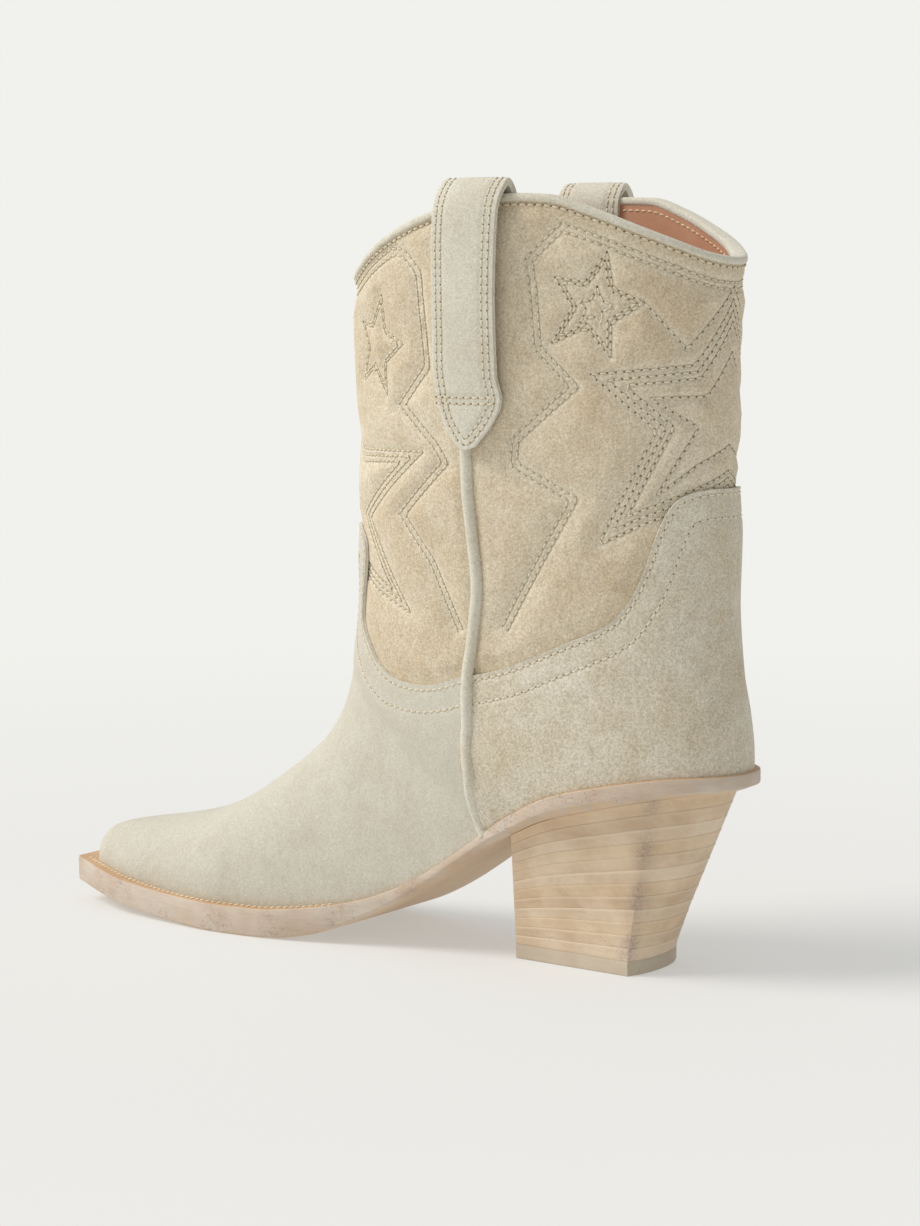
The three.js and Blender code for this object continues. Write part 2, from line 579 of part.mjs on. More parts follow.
function makeWelt() {
  const loop = (pairs) => [
    ...pairs.map(({ x, near }) => [x, near]),
    ...pairs.slice(0, -1).reverse().map(({ x, far }) => [x, far]),
  ];
  const [outer, inner] = [loop(soleEdge), loop(weltInner)];
  const sections = outer.map(([x, y], i) => {
    const [ix, iy] = inner[i];
    return [
      [x, y, seatZ(x) - weltThickness(x)], [x, y, seatZ(x)],
      [ix, iy, seatZ(ix)], [ix, iy, seatZ(ix) - weltThickness(ix)],
    ];
  });
  add("welt", "soleLeather", loft(sections, true));
}

const fixings = [[SCREW, sx(SCREW.x), HEEL_TOP_MID / 2], ...NAIL_SPOTS.map(([x, y]) => [NAIL, sx(x), sy(y)])];
const heelBores = fixings.map(([spec, x, y]) => [x, y, spec.radius + BORE_CLEARANCE]);
const headBores = fixings.map(([spec, x, y]) => [x, y, spec.head + BORE_CLEARANCE]);

function makeSole() {
  add("outsole", "soleLeather", bored(plate(soleEdge, soleBottomZ, outsoleTop), heelBores));
  const insoleLow = (x) => seatZ(x) + GAP;
  const insoleHigh = (x) => insoleLow(x) + INSOLE;
  const wholeFoot = between(footbed, sx(-205), sx(44));
  add("insole_board", "board", bored(plate(wholeFoot, insoleLow, insoleHigh), headBores));
  const sockLow = (x) => insoleHigh(x) + GAP;
  const sockEnd = sx(-40);
  add("sock_liner", "lining", plate(between(footbed, sx(-203), sockEnd), sockLow, (x) => sockLow(x) + SOCK));
  const padEdge = between(footbed, sockEnd + GAP, sx(43));
  add("heel_sock_pad", "lining", plate(padEdge, sockLow, (x) => sockLow(x) + HEEL_PAD));
  const fillLow = (x) => outsoleTop(x) + GAP;
  const fillHigh = (x) => seatZ(x) - 0.1;
  const forepartEnd = sx(SHANK.from) - GAP;
  add("forepart_filler", "cork", plate(between(cavity, sx(-200), forepartEnd), fillLow, fillHigh));
  const seatFill = between(cavity, sx(SHANK.to) + GAP, sx(40));
  add("heel_seat_filler", "board", bored(plate(seatFill, fillLow, fillHigh), heelBores));
  const shankPairs = range(10).map((t) => {
    const x = lerp(sx(SHANK.from), sx(SHANK.to), t);
    const y = lerp(front.middle(12), SHAFT_MID, t);
    return { x, near: y - SHANK.width / 2, far: y + SHANK.width / 2 };
  });
  add("shank", "steel", plate(shankPairs, fillLow, (x) => fillLow(x) + SHANK.thick));
}

// ---- Heel ------------------------------------------------------------------------------------------
// The heel's outline at a share of its height, as pairs.
function heelPairs(t) {
  return HEEL_BASE.map(([x, w], i) => {
    const [topX, topW] = HEEL_TOP[i];
    const middle = HEEL_TOP_MID * t;
    const half = sy(lerp(w, topW, t));
    return { x: sx(lerp(x, topX, t)), near: middle - half, far: middle + half };
  });
}
const heelTopZ = (x) => soleBottomZ(x) - GLUE_LINE;
const heelLevel = (x, t) => lerp(TIP_THICKNESS, heelTopZ(x), t);

function heelSlice(low, high, lowZ, highZ) {
  const [bottom, top] = [heelPairs(low), heelPairs(high)];
  return loft(bottom.map((b, i) => [
    [b.x, b.near, lowZ(b.x)], [b.x, b.far, lowZ(b.x)],
    [top[i].x, top[i].far, highZ(top[i].x)], [top[i].x, top[i].near, highZ(top[i].x)],
  ]));
}

function makeHeel() {
  add("top_piece", "rubber", heelSlice(0, 0, () => 0, () => TIP_THICKNESS - GLUE_LINE));
  const screwEnd = 3; // the screw stops inside the third lift
  const nailEnd = LIFT_COUNT - 1;
  for (let k = 1; k <= LIFT_COUNT; k++) {
    const [low, high] = [(k - 1) / LIFT_COUNT, k / LIFT_COUNT];
    const lift = heelSlice(low, high, (x) => heelLevel(x, low), (x) => heelLevel(x, high) - GLUE_LINE);
    const bores = k >= nailEnd ? heelBores : k >= screwEnd ? heelBores.slice(0, 1) : [];
    const name = `heel_lift_${String(k).padStart(2, "0")}`;
    add(name, "heelLeather", bores.length ? bored(lift, bores) : lift);
  }
  const liftLow = (x, k) => heelLevel(x, (k - 1) / LIFT_COUNT);
  fixings.forEach(([spec, x, y], i) => {
    const lastLift = i ? nailEnd : screwEnd;
    const name = i ? `seat_nail_${i}` : "heel_screw";
    add(name, "steel", headedPin(spec, x, y, liftLow(x + spec.radius, lastLift) + 1));
  });
}

// A pin with a flat head, sunk in the insole and ending in a point.
function headedPin(spec, x, y, endZ) {
  const top = seatZ(x - spec.head) + GAP + INSOLE - 0.1;
  const low = top - spec.headHeight;
  const shaft = [[0, endZ], [spec.radius, endZ + 2], [spec.radius, low]];
  const profile = [...shaft, [spec.head, low], [spec.head, top], [0, top]];
  const sides = 8;
  const ring = ([r, z]) => range(sides).slice(1).map((a) => [
    x + r * Math.cos(2 * Math.PI * a), y + r * Math.sin(2 * Math.PI * a), z,
  ]);
  return loft(profile.map(ring));
}

makeVamp();
makeCounter();
makeShaft();
makeFootLayers();
makePiping();
makeBinding();
makeStraps();
makeWelt();
makeSole();
makeHeel();

export default boot;
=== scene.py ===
# Cowboy boot: suede upper with a quilted shaft, pull straps, welted leather sole and stacked heel.
# The shapes are worked out in millimetres in the boot's own frame, and made in metres.
import math

import bpy
import numpy as np
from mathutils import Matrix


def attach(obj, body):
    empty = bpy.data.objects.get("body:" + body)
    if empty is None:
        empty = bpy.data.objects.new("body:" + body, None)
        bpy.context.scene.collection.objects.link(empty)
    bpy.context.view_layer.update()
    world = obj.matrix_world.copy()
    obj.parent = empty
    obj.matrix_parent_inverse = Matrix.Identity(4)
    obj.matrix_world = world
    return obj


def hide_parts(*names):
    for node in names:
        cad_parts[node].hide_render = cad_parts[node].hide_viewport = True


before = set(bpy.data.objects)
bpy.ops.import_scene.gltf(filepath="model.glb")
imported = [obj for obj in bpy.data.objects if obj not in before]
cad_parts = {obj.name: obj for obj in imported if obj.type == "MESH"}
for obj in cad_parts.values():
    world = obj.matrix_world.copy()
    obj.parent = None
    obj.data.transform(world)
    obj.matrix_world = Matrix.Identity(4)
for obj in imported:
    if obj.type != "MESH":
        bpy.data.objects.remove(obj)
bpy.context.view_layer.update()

MM = 0.001
BODY = "root"

# ---- Sizes of the boot, in millimetres -----------------------------------------------------------
TOP_LEATHER = 1.2
STRAP_LEATHER = 1.5
LINING = 0.9
LAP_OUT = 1.95  # how far the vamp and the counter stand out from the shaft's face
LAP_EDGE = 1.3  # and at their cut edges, where they lie flat on it
TIP_THICKNESS = 5.0
LIFT_COUNT = 12
SNIP_WIDTH = 27.0  # flat end of the sole's toe
TOE_MARGIN = 4.8  # how far the welt's toe stands in front of the vamp
SEAM_X = -33.0  # the side seams, along the boot
MID_Y = 2.0  # the shaft's middle plane
FRONT_ARC = 79.0  # round the shaft from the front centre to the side seam
HALF_ARC = 173.0  # and to the back centre
STITCH = 2.75  # from one needle hole to the next
ROW_GAP = 2.2  # between the two rows of a double seam

# The last in front of the side seams: ridge x, ridge z, edge x, edge z (0: on the sole), half
# width, middle y and belly of each section, from the toe to the top.
FRONT = np.array([
    [-212.5, 16.6, -212.5, 0, 0.6, 1.5, 0.9],
    [-212.3, 18.8, -212.3, 0, 3.2, 1.5, 0.9],
    [-211.6, 21.8, -211.6, 0, 6, 1.5, 0.9],
    [-210, 24.2, -210, 0, 8.4, 1.5, 0.9],
    [-206.8, 26, -206.8, 0, 11.2, 1.5, 0.88],
    [-200, 27.9, -200, 0, 14.4, 1.5, 0.86],
    [-190, 29.9, -190, 0, 18.9, 1.5, 0.85],
    [-176, 32.3, -176, 0, 23, 1.6, 0.85],
    [-158, 36.7, -158, 0, 27.5, 1.8, 0.85],
    [-142, 43.8, -140, 0, 30, 2.2, 0.86],
    [-130.7, 51.6, -122, 0, 30.2, 3, 0.87],
    [-120.4, 59.7, -103, 0, 28.8, 3.5, 0.87],
    [-111.3, 68.2, -84, 0, 26.8, 4, 0.86],
    [-105.1, 77.3, -66, 0, 24.7, 4, 0.84],
    [-101.4, 86, -49, 0, 23.2, 3.2, 0.82],
    [-99, 93.8, -33, 0, 23.6, 2, 0.8],
    [-97.4, 101.5, -33, 66, 32.4, 2, 0.93],
    [-96.2, 110.5, -33, 90, 33.1, 2, 1],
    [-95.4, 118.7, -33, 110, 33.4, 2, 1],
    [-95, 128, -33, 128, 34.2, 2, 1],
    [-95.2, 150, -33, 150, 35.2, 2, 1],
    [-95.8, 180, -33, 180, 36.5, 2, 1],
    [-96.5, 215, -33, 215, 37.8, 2, 1],
    [-97, 262, -33, 262, 39, 2, 1],
])
CORNER = 15  # the section that meets the sole at the side seam
# Behind the side seams: z, half width, back x and squareness of each level.
BACK = np.array([
    [43, 22.4, 50, 2.3], [48, 25.9, 50, 2.3], [53, 28.6, 50, 2.3], [61, 31.6, 50, 2.3],
    [74, 33.2, 50, 2.25], [86, 33.2, 49, 2.2], [100, 33.1, 46.8, 2.1], [128, 34.2, 45, 2.05],
    [165, 36, 45.2, 2.05], [215, 37.8, 46.7, 2.05], [262, 39, 47.4, 2.05],
])
# Along the boot: top of the welt, bottom of the sole, the welt's thickness and how far it shows, and
# the shaft's top line.
SEAT_Z = [
    (-218, 16), (-209, 14.8), (-196, 13.2), (-178, 11.5), (-160, 10.5), (-140, 10), (-122, 10.2),
    (-108, 11.4), (-95, 13.4), (-82, 16.4), (-68, 21.9), (-56, 28.6), (-43, 37.3), (-33, 44.2),
    (-19, 52.5), (-3, 60), (12.5, 64), (26, 66.5), (37, 68), (54, 68.6),
]
SOLE_BOTTOM_Z = [
    (-218, 7), (-206, 5.2), (-190, 3.3), (-167, 1.3), (-142, 0.1), (-128, 0), (-113, 0.6),
    (-105, 1.8), (-97, 3.8), (-89, 6.6), (-80, 10.6), (-70, 15.9), (-61, 21.4), (-49, 29.2),
    (-36, 37.6), (-23, 44.4), (-10, 50.3), (12.5, 56.5), (32, 60.7), (44, 62.3), (54, 62.6),
]
WELT_THICKNESS = [(-218, 3.2), (-108, 3.4), (-82, 2.2), (-35, 2.2), (-19, 3.6), (54, 4)]
WELT_MARGIN = [
    (-218, 4.8), (-190, 4.8), (-158, 3.6), (-125, 4.2), (-100, 3), (-80, 1.6), (-33, 1.2), (0, 1.6),
    (54, 2.2),
]
RIM_Z = [
    (-98, 229.5), (-91, 230.8), (-84, 234), (-78, 237.5), (-67, 243), (-51, 249), (-33, 253.5),
    (-14, 256), (-3, 255.6), (11, 251.5), (27, 245), (36, 241), (44, 237), (49, 235),
]
# Top edges of the vamp (arc from the front centre) and the counter (arc from the back centre).
VAMP_EDGE = [
    (0, 145), (10, 144.6), (18, 143.2), (22.6, 141), (25, 137.6), (24.9, 133), (23.4, 128), (21.6, 123),
    (20.6, 118), (20.8, 113), (23.5, 108.5), (28.5, 104), (35, 98.6), (44, 94.4), (55, 93), (65, 94),
    (76, 97.6), (81, 99),
]
COUNTER_EDGE = [
    (0, 161), (10, 161), (17, 159.6), (21.5, 157.2), (25, 152.5), (28, 146), (30.3, 139), (32.6, 132.5),
    (36, 126), (41, 119.6), (47, 115.4), (55, 112), (67, 107), (77, 102.6), (86, 99.8), (95, 97.6),
]
# Heel outlines from the breast to the back: x and half width, at the tip and at the seat.
HEEL_BASE = [(-27.5, 12), (-12, 13.6), (3, 15), (18.5, 16.6), (20.8, 11), (21.8, 5.5), (22, 0)]
HEEL_TOP = [(-24, 23), (-6, 25), (11, 25.4), (28, 22.4), (38, 17), (44.5, 9.5), (47, 0)]
# How far the side seam wanders to the back, over the height.
SEAM_DRIFT = [
    (40, 0), (70, -0.4), (98, -0.9), (112, 1), (128, 3), (145, 1.6), (160, 0.3), (176, 0), (262, 0),
]


# ---- Curves --------------------------------------------------------------------------------------
def curve(points):
    """A smooth curve through (x, y) points that never overshoots them."""
    xs, ys = np.array(points, float).T
    step = np.diff(xs)
    slope = np.diff(ys) / step
    left, right = slope[:-1], slope[1:]
    total = np.where(left + right == 0, 1, left + right)
    inner = np.where(left * right <= 0, 0, 2 * left * right / total)
    tangent = np.concatenate([[slope[0]], inner, [slope[-1]]])

    def at(x):
        x = np.clip(x, xs[0], xs[-1])
        i = np.clip(np.searchsorted(xs, x, side="right") - 1, 0, len(step) - 1)
        t = (x - xs[i]) / step[i]
        bend = step[i] * t * (1 - t) * ((1 - t) * tangent[i] - t * tangent[i + 1])
        return ys[i] + (ys[i + 1] - ys[i]) * t * t * (3 - 2 * t) + bend

    return at


def by_row(table, column, key=None):
    """A curve through one column of a table, over the row's number or over another column."""
    keys = np.arange(len(table)) if key is None else table[:, key]
    return curve(np.column_stack([keys, table[:, column]]))


def smooth_step(low, high, x):
    """0 up to low, 1 from high on, and a soft slope between."""
    t = np.clip((x - low) / (high - low), 0, 1)
    return t * t * (3 - 2 * t)


def lerp(a, b, t):
    return a + (b - a) * t


def side_of(values):
    """-1 on the inner side of the boot, 1 on the outer."""
    return np.where(np.asarray(values) < 0, -1.0, 1.0)


def unit(vectors):
    """The same directions, each of length 1."""
    return vectors / np.maximum(np.linalg.norm(vectors, axis=-1, keepdims=True), 1e-9)


def spline(points, step):
    """Points about `step` apart on a smooth line through the given ones."""
    p = np.array(points, float)
    p = np.vstack([2 * p[0] - p[1], p, 2 * p[-1] - p[-2]])
    out = []
    for a, b, c, d in zip(p, p[1:], p[2:], p[3:]):
        n = max(1, int(np.ceil(np.linalg.norm(c - b) / step)))
        t = (np.arange(n) / n)[:, None]
        bends = (2 * a - 5 * b + 4 * c - d) * t**2 + (3 * b - a - 3 * c + d) * t**3
        out.append(0.5 * (2 * b + (c - a) * t + bends))
    return np.vstack(out + [p[-2][None]])


seat_z = curve(SEAT_Z)
sole_bottom_z = curve(SOLE_BOTTOM_Z)
welt_thickness = curve(WELT_THICKNESS)
welt_margin = curve(WELT_MARGIN)
rim_z = curve(RIM_Z)
seam_drift = curve(SEAM_DRIFT)
ridge_x, ridge_z, edge_x = (by_row(FRONT, k) for k in (0, 1, 2))
half_width, middle_y, belly = (by_row(FRONT, k) for k in (4, 5, 6))
edge_heights = FRONT[:, 3].copy()
edge_heights[: CORNER + 1] = seat_z(FRONT[: CORNER + 1, 2])
edge_z = curve(np.column_stack([np.arange(len(FRONT)), edge_heights]))
back_half, back_x, back_square = (by_row(BACK, k, 0) for k in (1, 2, 3))


def front_point(s, c):
    """The last at section s; c runs from -1 on the inner side over the ridge to 1 on the outer side."""
    s, c = np.broadcast_arrays(np.asarray(s, float), np.asarray(c, float))
    foot = np.where(s <= CORNER, seat_z(edge_x(s)), edge_z(s))
    turn_end = np.arccos(1 - 1 / belly(s))
    turn = np.abs(c) * turn_end
    t = belly(s) * (1 - np.cos(turn))
    out = half_width(s) * np.sin(turn) / np.sin(turn_end)
    return np.stack([
        lerp(ridge_x(s), edge_x(s), t),
        middle_y(s) + np.sign(c) * out,
        lerp(ridge_z(s), foot, t),
    ], -1)


def back_point(c, z):
    """The last behind the side seams; c runs from -1 at the inner seam over the back to 1."""
    c, z = np.broadcast_arrays(np.asarray(c, float), np.asarray(z, float))
    turn = (1 - np.abs(c)) * math.pi / 2
    power = 2 / back_square(z)
    along = (back_x(z) - SEAM_X) * np.sin(turn) ** power
    out = back_half(z) * np.maximum(0, np.cos(turn)) ** power
    return np.stack([SEAM_X + along, MID_Y + np.sign(c) * out, z], -1)


LOWEST_SECTION = 8.0  # no section before this one reaches up to the chart
HALVINGS = 30


def front_section(c, z):
    """The section number where column c of the front reaches height z."""
    low, high = np.full(np.shape(z), LOWEST_SECTION), np.full(np.shape(z), len(FRONT) - 1.0)
    for _ in range(HALVINGS):
        middle = (low + high) / 2
        above = front_point(middle, c)[..., 2] > z
        high = np.where(above, middle, high)
        low = np.where(above, low, middle)
    return (low + high) / 2


# ---- The chart: arc round the boot from the front centre, and height -----------------------------
CHART_COLUMNS = 121
CHART_STEP = 4.0
CHART_TOP = 264.0
FRONT_CHART_FOOT = 76.0  # the lowest height that the front has from seam to seam
BACK_CHART_FOOT = 44.0


class Chart:
    """Turns a share of the way round, at a height, into a column of the last, and back."""

    def __init__(self, foot, points_at):
        """points_at(columns, heights) gives points of the last, from height `foot` up."""
        self.columns, self.heights = np.linspace(0, 1, CHART_COLUMNS), np.arange(foot, CHART_TOP, CHART_STEP)
        z, c = np.meshgrid(self.heights, self.columns, indexing="ij")
        points = points_at(c, z)
        length = np.linalg.norm(np.diff(points, axis=1), axis=2)
        run = np.concatenate([np.zeros((len(self.heights), 1)), np.cumsum(length, 1)], 1)
        self.share = run / run[:, -1:]
        self.column = np.array([np.interp(self.columns, share, self.columns) for share in self.share])

    def _look_up(self, table, x, z):
        """The table's value at a place along its rows and a height, both between 0 and its last cell."""
        xi = np.clip(x * (len(self.columns) - 1), 0, len(self.columns) - 1.001)
        zi = np.clip((z - self.heights[0]) / CHART_STEP, 0, len(self.heights) - 1.001)
        i, j = zi.astype(int), xi.astype(int)
        u, v = zi - i, xi - j
        low = lerp(table[i, j], table[i, j + 1], v)
        return lerp(low, lerp(table[i + 1, j], table[i + 1, j + 1], v), u)

    def column_at(self, share, z):
        return self._look_up(self.column, share, z)

    def share_at(self, column, z):
        return self._look_up(self.share, column, z)


front_chart = Chart(FRONT_CHART_FOOT, lambda c, z: front_point(front_section(c, z), c))
back_chart = Chart(BACK_CHART_FOOT, lambda c, z: back_point(1 - c, z))  # columns run from the seam


def shaft_at(arc, z):
    """The shaft's face at an arc from the front centre, negative on the inner side."""
    arc, z = np.broadcast_arrays(np.asarray(arc, float), np.asarray(z, float))
    a, side = np.abs(arc), side_of(arc)
    column = front_chart.column_at(np.minimum(a, FRONT_ARC) / FRONT_ARC, z)
    front = front_point(front_section(column, z), column * side)
    share = np.clip((a - FRONT_ARC) / (HALF_ARC - FRONT_ARC), 0, 1)
    back = back_point((1 - back_chart.column_at(share, z)) * side, z)
    return np.where((a < FRONT_ARC)[..., None], front, back)


def shaft_normal(arc, z):
    """Outward directions, from the slope of the face."""
    h = 0.6  # half of the span that the slope is taken over
    high, low = np.minimum(np.abs(arc) + h, HALF_ARC), np.abs(arc) - h
    side = side_of(arc)
    round_way = shaft_at(high * side, z) - shaft_at(low * side, z)
    up = shaft_at(arc, z + h) - shaft_at(arc, z - h)
    return unit(np.cross(up, round_way) * side[..., None])


# ---- Lines drawn on the leather ------------------------------------------------------------------
SHARPEST_MITRE = 0.22  # keeps the offset of a sharp corner from running away


def lengths(line):
    """The run from a line's start to each of its points."""
    return np.concatenate([[0], np.cumsum(np.linalg.norm(np.diff(line, axis=0), axis=1))])


def walk(line, step):
    """Points every `step` along a line."""
    run = lengths(line)
    n = max(2, int(round(run[-1] / step)) + 1)
    at = np.linspace(0, run[-1], n)
    return np.column_stack([np.interp(at, run, line[:, k]) for k in range(line.shape[1])])


def beside(points, gap, closed=False):
    """The line at a distance to the left of a cornered one, with mitred corners."""
    p = np.array(points, float)
    before = np.roll(p, 1, 0) if closed else np.vstack([2 * p[0] - p[1], p[:-1]])
    after = np.roll(p, -1, 0) if closed else np.vstack([p[1:], 2 * p[-1] - p[-2]])
    a, b = unit(p - before), unit(after - p)
    na, nb = np.column_stack([-a[:, 1], a[:, 0]]), np.column_stack([-b[:, 1], b[:, 0]])
    mitre = (na + nb) / np.maximum(1 + (na * nb).sum(1, keepdims=True), SHARPEST_MITRE)
    return p + gap * mitre


def rows_of(points, rows=1, gap=ROW_GAP, closed=False):
    """The line itself, and more rows to its left."""
    lines = [beside(points, k * gap, closed) for k in range(rows)]
    return [np.vstack([line, line[:1]]) if closed else line for line in lines]


def in_both(lines):
    """Lines of the outer side, and the same on the inner side."""
    return lines + [line * [-1, 1] for line in lines]


def distance(points, lines):
    """Distance from chart points to the nearest of the lines."""
    flat = points.reshape(-1, 2)
    best = np.full(len(flat), 1e9)
    for line in lines:
        for a, b in zip(line[:-1], line[1:]):
            ab = b - a
            t = np.clip(((flat - a) @ ab) / max(ab @ ab, 1e-12), 0, 1)
            off = flat - a - t[:, None] * ab
            best = np.minimum(best, off[:, 0] ** 2 + off[:, 1] ** 2)
    return np.sqrt(best).reshape(points.shape[:-1])


FAR_DOWN = -500


def height_over(points, edge):
    """Signed distance from a lapped edge, above it positive; the edge runs from the centre outwards."""
    near = np.stack([np.abs(points[..., 0]), points[..., 1]], -1)
    ring = np.vstack([edge, [edge[-1, 0], FAR_DOWN], [-1, FAR_DOWN], [-1, edge[0, 1]]])
    x, y = near[..., 0], near[..., 1]
    inside = np.zeros(x.shape, bool)
    for (x0, y0), (x1, y1) in zip(ring, np.roll(ring, -1, 0)):
        if y0 != y1:
            inside ^= ((y0 > y) != (y1 > y)) & (x < (x1 - x0) * (y - y0) / (y1 - y0) + x0)
    return np.where(inside, -1, 1) * distance(near, [edge])


vamp_edge = spline(VAMP_EDGE, 1.0)
counter_edge = spline(COUNTER_EDGE, 1.0)


def rim_at(arc):
    """Height of the top line at an arc from the front centre."""
    z = np.full(np.shape(arc), 245.0)
    for _ in range(4):
        z = rim_z(shaft_at(arc, z)[..., 0])
    return z


# Corners of the sewn figures. Those of the back have their arc from the back centre.
REAR_STAR = [(45, 237), (52, 227.5), (62, 229), (56, 219.5), (63, 208), (51.5, 213), (43.5, 203.5),
             (43.5, 214.5), (33, 221), (43, 225.5)]
TINY_STAR = [(48, 226), (50, 221.5), (54.5, 222), (51.5, 218.8), (53.5, 214.5), (49.5, 217),
             (46.3, 213.8), (46.6, 218), (42.5, 220), (46.7, 221.6)]
REAR_ZIGZAG = [(72, 235), (70.5, 226), (69, 206), (57, 194), (77, 177), (78, 168), (57, 157), (82, 115)]
STAR_LINK = [(33, 221), (19, 206), (0, 226)]  # from the small star's point to the back centre
BIG_STAR = [(0, 222), (16, 201), (50, 198), (28, 180), (47, 143), (33, 149.5), (0, 162)]
INNER_STAR = [(0, 205), (11, 191), (31, 190.5), (14, 181), (28, 159), (14, 169), (0, 175)]
FRONT_ZIGZAG = [
    (54, 238), (61, 231), (64, 199), (52, 187), (66, 175), (71, 168), (50, 150), (63, 136), (75, 113),
]
FRONT_STAR = [(0, 199), (20, 171), (60, 171.5), (27, 148), (51, 117), (30, 124), (0, 137)]
SMALL_STAR_GAP = 1.1  # between the two rows of a small star
# The small star of the front is the rear one, mirrored, a little narrower and lower.
FRONT_SMALL_STAR = [(82.5 - 0.93 * arc, z - 14) for arc, z in REAR_STAR]
REAR_RIM_DROP = 8.5  # from the top line down to the border's row
FRONT_RIM_DROP = 5.5


def rim_row(arcs, drop):
    """A row that follows the top line."""
    arcs = np.asarray(arcs, float)
    return np.column_stack([arcs, rim_at(arcs) - drop])


def half_star(points, rows, gap=ROW_GAP):
    """Rows inside a star that is centred on the front or the back of the boot."""
    whole = points + [(-x, z) for x, z in points[-2:0:-1]]
    return [line[: len(points)] for line in rows_of(whole, rows, -gap, True)]


def other_end(line):
    """A line with its arcs taken from the other end: from the back centre or the front centre."""
    return np.column_stack([HALF_ARC - line[:, 0], line[:, 1]])


def shaft_rows():
    """Stitch rows of the shaft's outer half: the front's, the back's border and the back's stars."""
    top = other_end(rim_row(HALF_ARC - np.arange(0, 62, 4), REAR_RIM_DROP))
    border = rows_of(np.vstack([top, REAR_ZIGZAG]), 2, -ROW_GAP)
    stars = rows_of(REAR_STAR, 2, -SMALL_STAR_GAP, True) + rows_of(TINY_STAR, 1, 0, True)
    stars += [np.array(STAR_LINK, float)]
    stars += half_star(BIG_STAR, 3) + half_star(INNER_STAR, 1)
    front_top = rim_row(np.arange(0, 52, 4), FRONT_RIM_DROP)
    front = rows_of(np.vstack([front_top, FRONT_ZIGZAG]), 2, -ROW_GAP)
    front += rows_of(FRONT_SMALL_STAR, 2, SMALL_STAR_GAP, True)
    front += half_star(FRONT_STAR, 3)
    return front, [other_end(line) for line in border], [other_end(line) for line in stars]


front_rows, border_rows, star_rows = shaft_rows()


def under_edge(edge, depth):
    """A row at a depth under a lapped edge, without the points where the offset folds over."""
    line = beside(edge, -depth)
    keep = np.abs(distance(line, [edge]) - depth) < 0.06 * depth
    return line[keep & (line[:, 0] >= -0.5)]


EDGE_ROW = 1.7  # from a lapped edge down to its first row
vamp_rows = [under_edge(vamp_edge, depth) for depth in (EDGE_ROW, 9.0)]
counter_rows = [under_edge(counter_edge, depth) for depth in (EDGE_ROW, 9.3)]


# ---- Soft relief ---------------------------------------------------------------------------------
def near_line(gap, reach):
    """1 on a line, fading to 0 over about `reach`."""
    return np.exp(-((gap / reach) ** 2))


def soft_noise(points, size, seed):
    """Smooth noise from -1 to 1 with features of about `size`."""
    p = points / size + seed * 17.31
    cell = np.floor(p).astype(np.int64)
    f = p - cell
    f = f * f * (3 - 2 * f)
    total = np.zeros(points.shape[:-1])
    for corner in range(8):
        offset = np.array([corner & 1, corner >> 1 & 1, corner >> 2 & 1])
        x, y, z = np.moveaxis(cell + offset, -1, 0)
        mixed = (x * 374761393 + y * 668265263 + z * 2147483647 + seed * 974634777) & 0xFFFFFFFF
        mixed = ((mixed ^ (mixed >> 13)) * 1274126177) & 0xFFFFFFFF
        value = ((mixed ^ (mixed >> 16)) & 0xFFFF) / 32767.5 - 1
        total += value * np.prod(np.where(offset, f, 1 - f), -1)
    return total


PUFF = 1.25  # how far the padding lifts the leather between the rows
PUFF_REACH = 5.2  # how far from a row the leather is lifted in full
SEWN_DENT = 0.75
SEWN_DENT_REACH = 0.95
LAP_DENT = 0.3
LAP_DENT_REACH = 0.9


def quilt(chart_points, rows, places):
    """How far the padded leather stands out: pulled in at the stitches and puffed between them."""
    d = distance(chart_points, rows)
    arc, z = chart_points[..., 0], chart_points[..., 1]
    above = np.where(
        np.abs(arc) < FRONT_ARC,
        height_over(chart_points, vamp_edge),
        height_over(np.stack([HALF_ARC - np.abs(arc), z], -1), counter_edge),
    )
    seam = np.abs(np.abs(arc) - FRONT_ARC - seam_drift(z))
    rim = rim_at(arc) - z
    free = smooth_step(-0.5, 7, above) * smooth_step(0.3, 6, seam) * smooth_step(2.5, 8, rim)
    puff = PUFF * (1 - near_line(d, PUFF_REACH)) * free
    dent = SEWN_DENT * near_line(d, SEWN_DENT_REACH)
    slack = (0.32 * soft_noise(places, 22, 3) + 0.13 * soft_noise(places, 9, 5)) * (0.3 + 0.7 * free)
    return puff - dent + slack - 0.1


def lapped(chart_points, edge, rows, places):
    """How far the vamp or the counter stands out from the shaft's face."""
    below = -height_over(chart_points, edge)
    out = lerp(LAP_EDGE, LAP_OUT, smooth_step(1, 16, below))
    near = np.stack([np.abs(chart_points[..., 0]), chart_points[..., 1]], -1)
    dent = LAP_DENT * near_line(distance(near, rows), LAP_DENT_REACH)
    return out - dent + 0.3 * soft_noise(places, 26, 8) * smooth_step(0, 14, below)


# ---- Meshes --------------------------------------------------------------------------------------
def pick(obj=None):
    """Selects one object, or nothing."""
    for other in list(bpy.context.selected_objects):
        other.select_set(False)
    if obj:
        obj.select_set(True)
    bpy.context.view_layer.objects.active = obj


def edit(obj, *steps):
    """Takes steps in edit mode, with the whole mesh selected at the start."""
    pick(obj)
    bpy.ops.object.mode_set(mode="EDIT")
    bpy.ops.mesh.select_all(action="SELECT")
    for step in steps:
        step()
    bpy.ops.object.mode_set(mode="OBJECT")


def sheet(name, points):
    """A flat grid laid on rows and columns of points."""
    rows, cols = points.shape[:2]
    pick()
    bpy.ops.mesh.primitive_grid_add(x_subdivisions=cols - 1, y_subdivisions=rows - 1, size=1)
    obj = bpy.context.active_object
    obj.name = obj.data.name = name
    obj.data.vertices.foreach_set("co", (points.reshape(-1, 3) * MM).ravel())
    obj.data.update()
    return obj


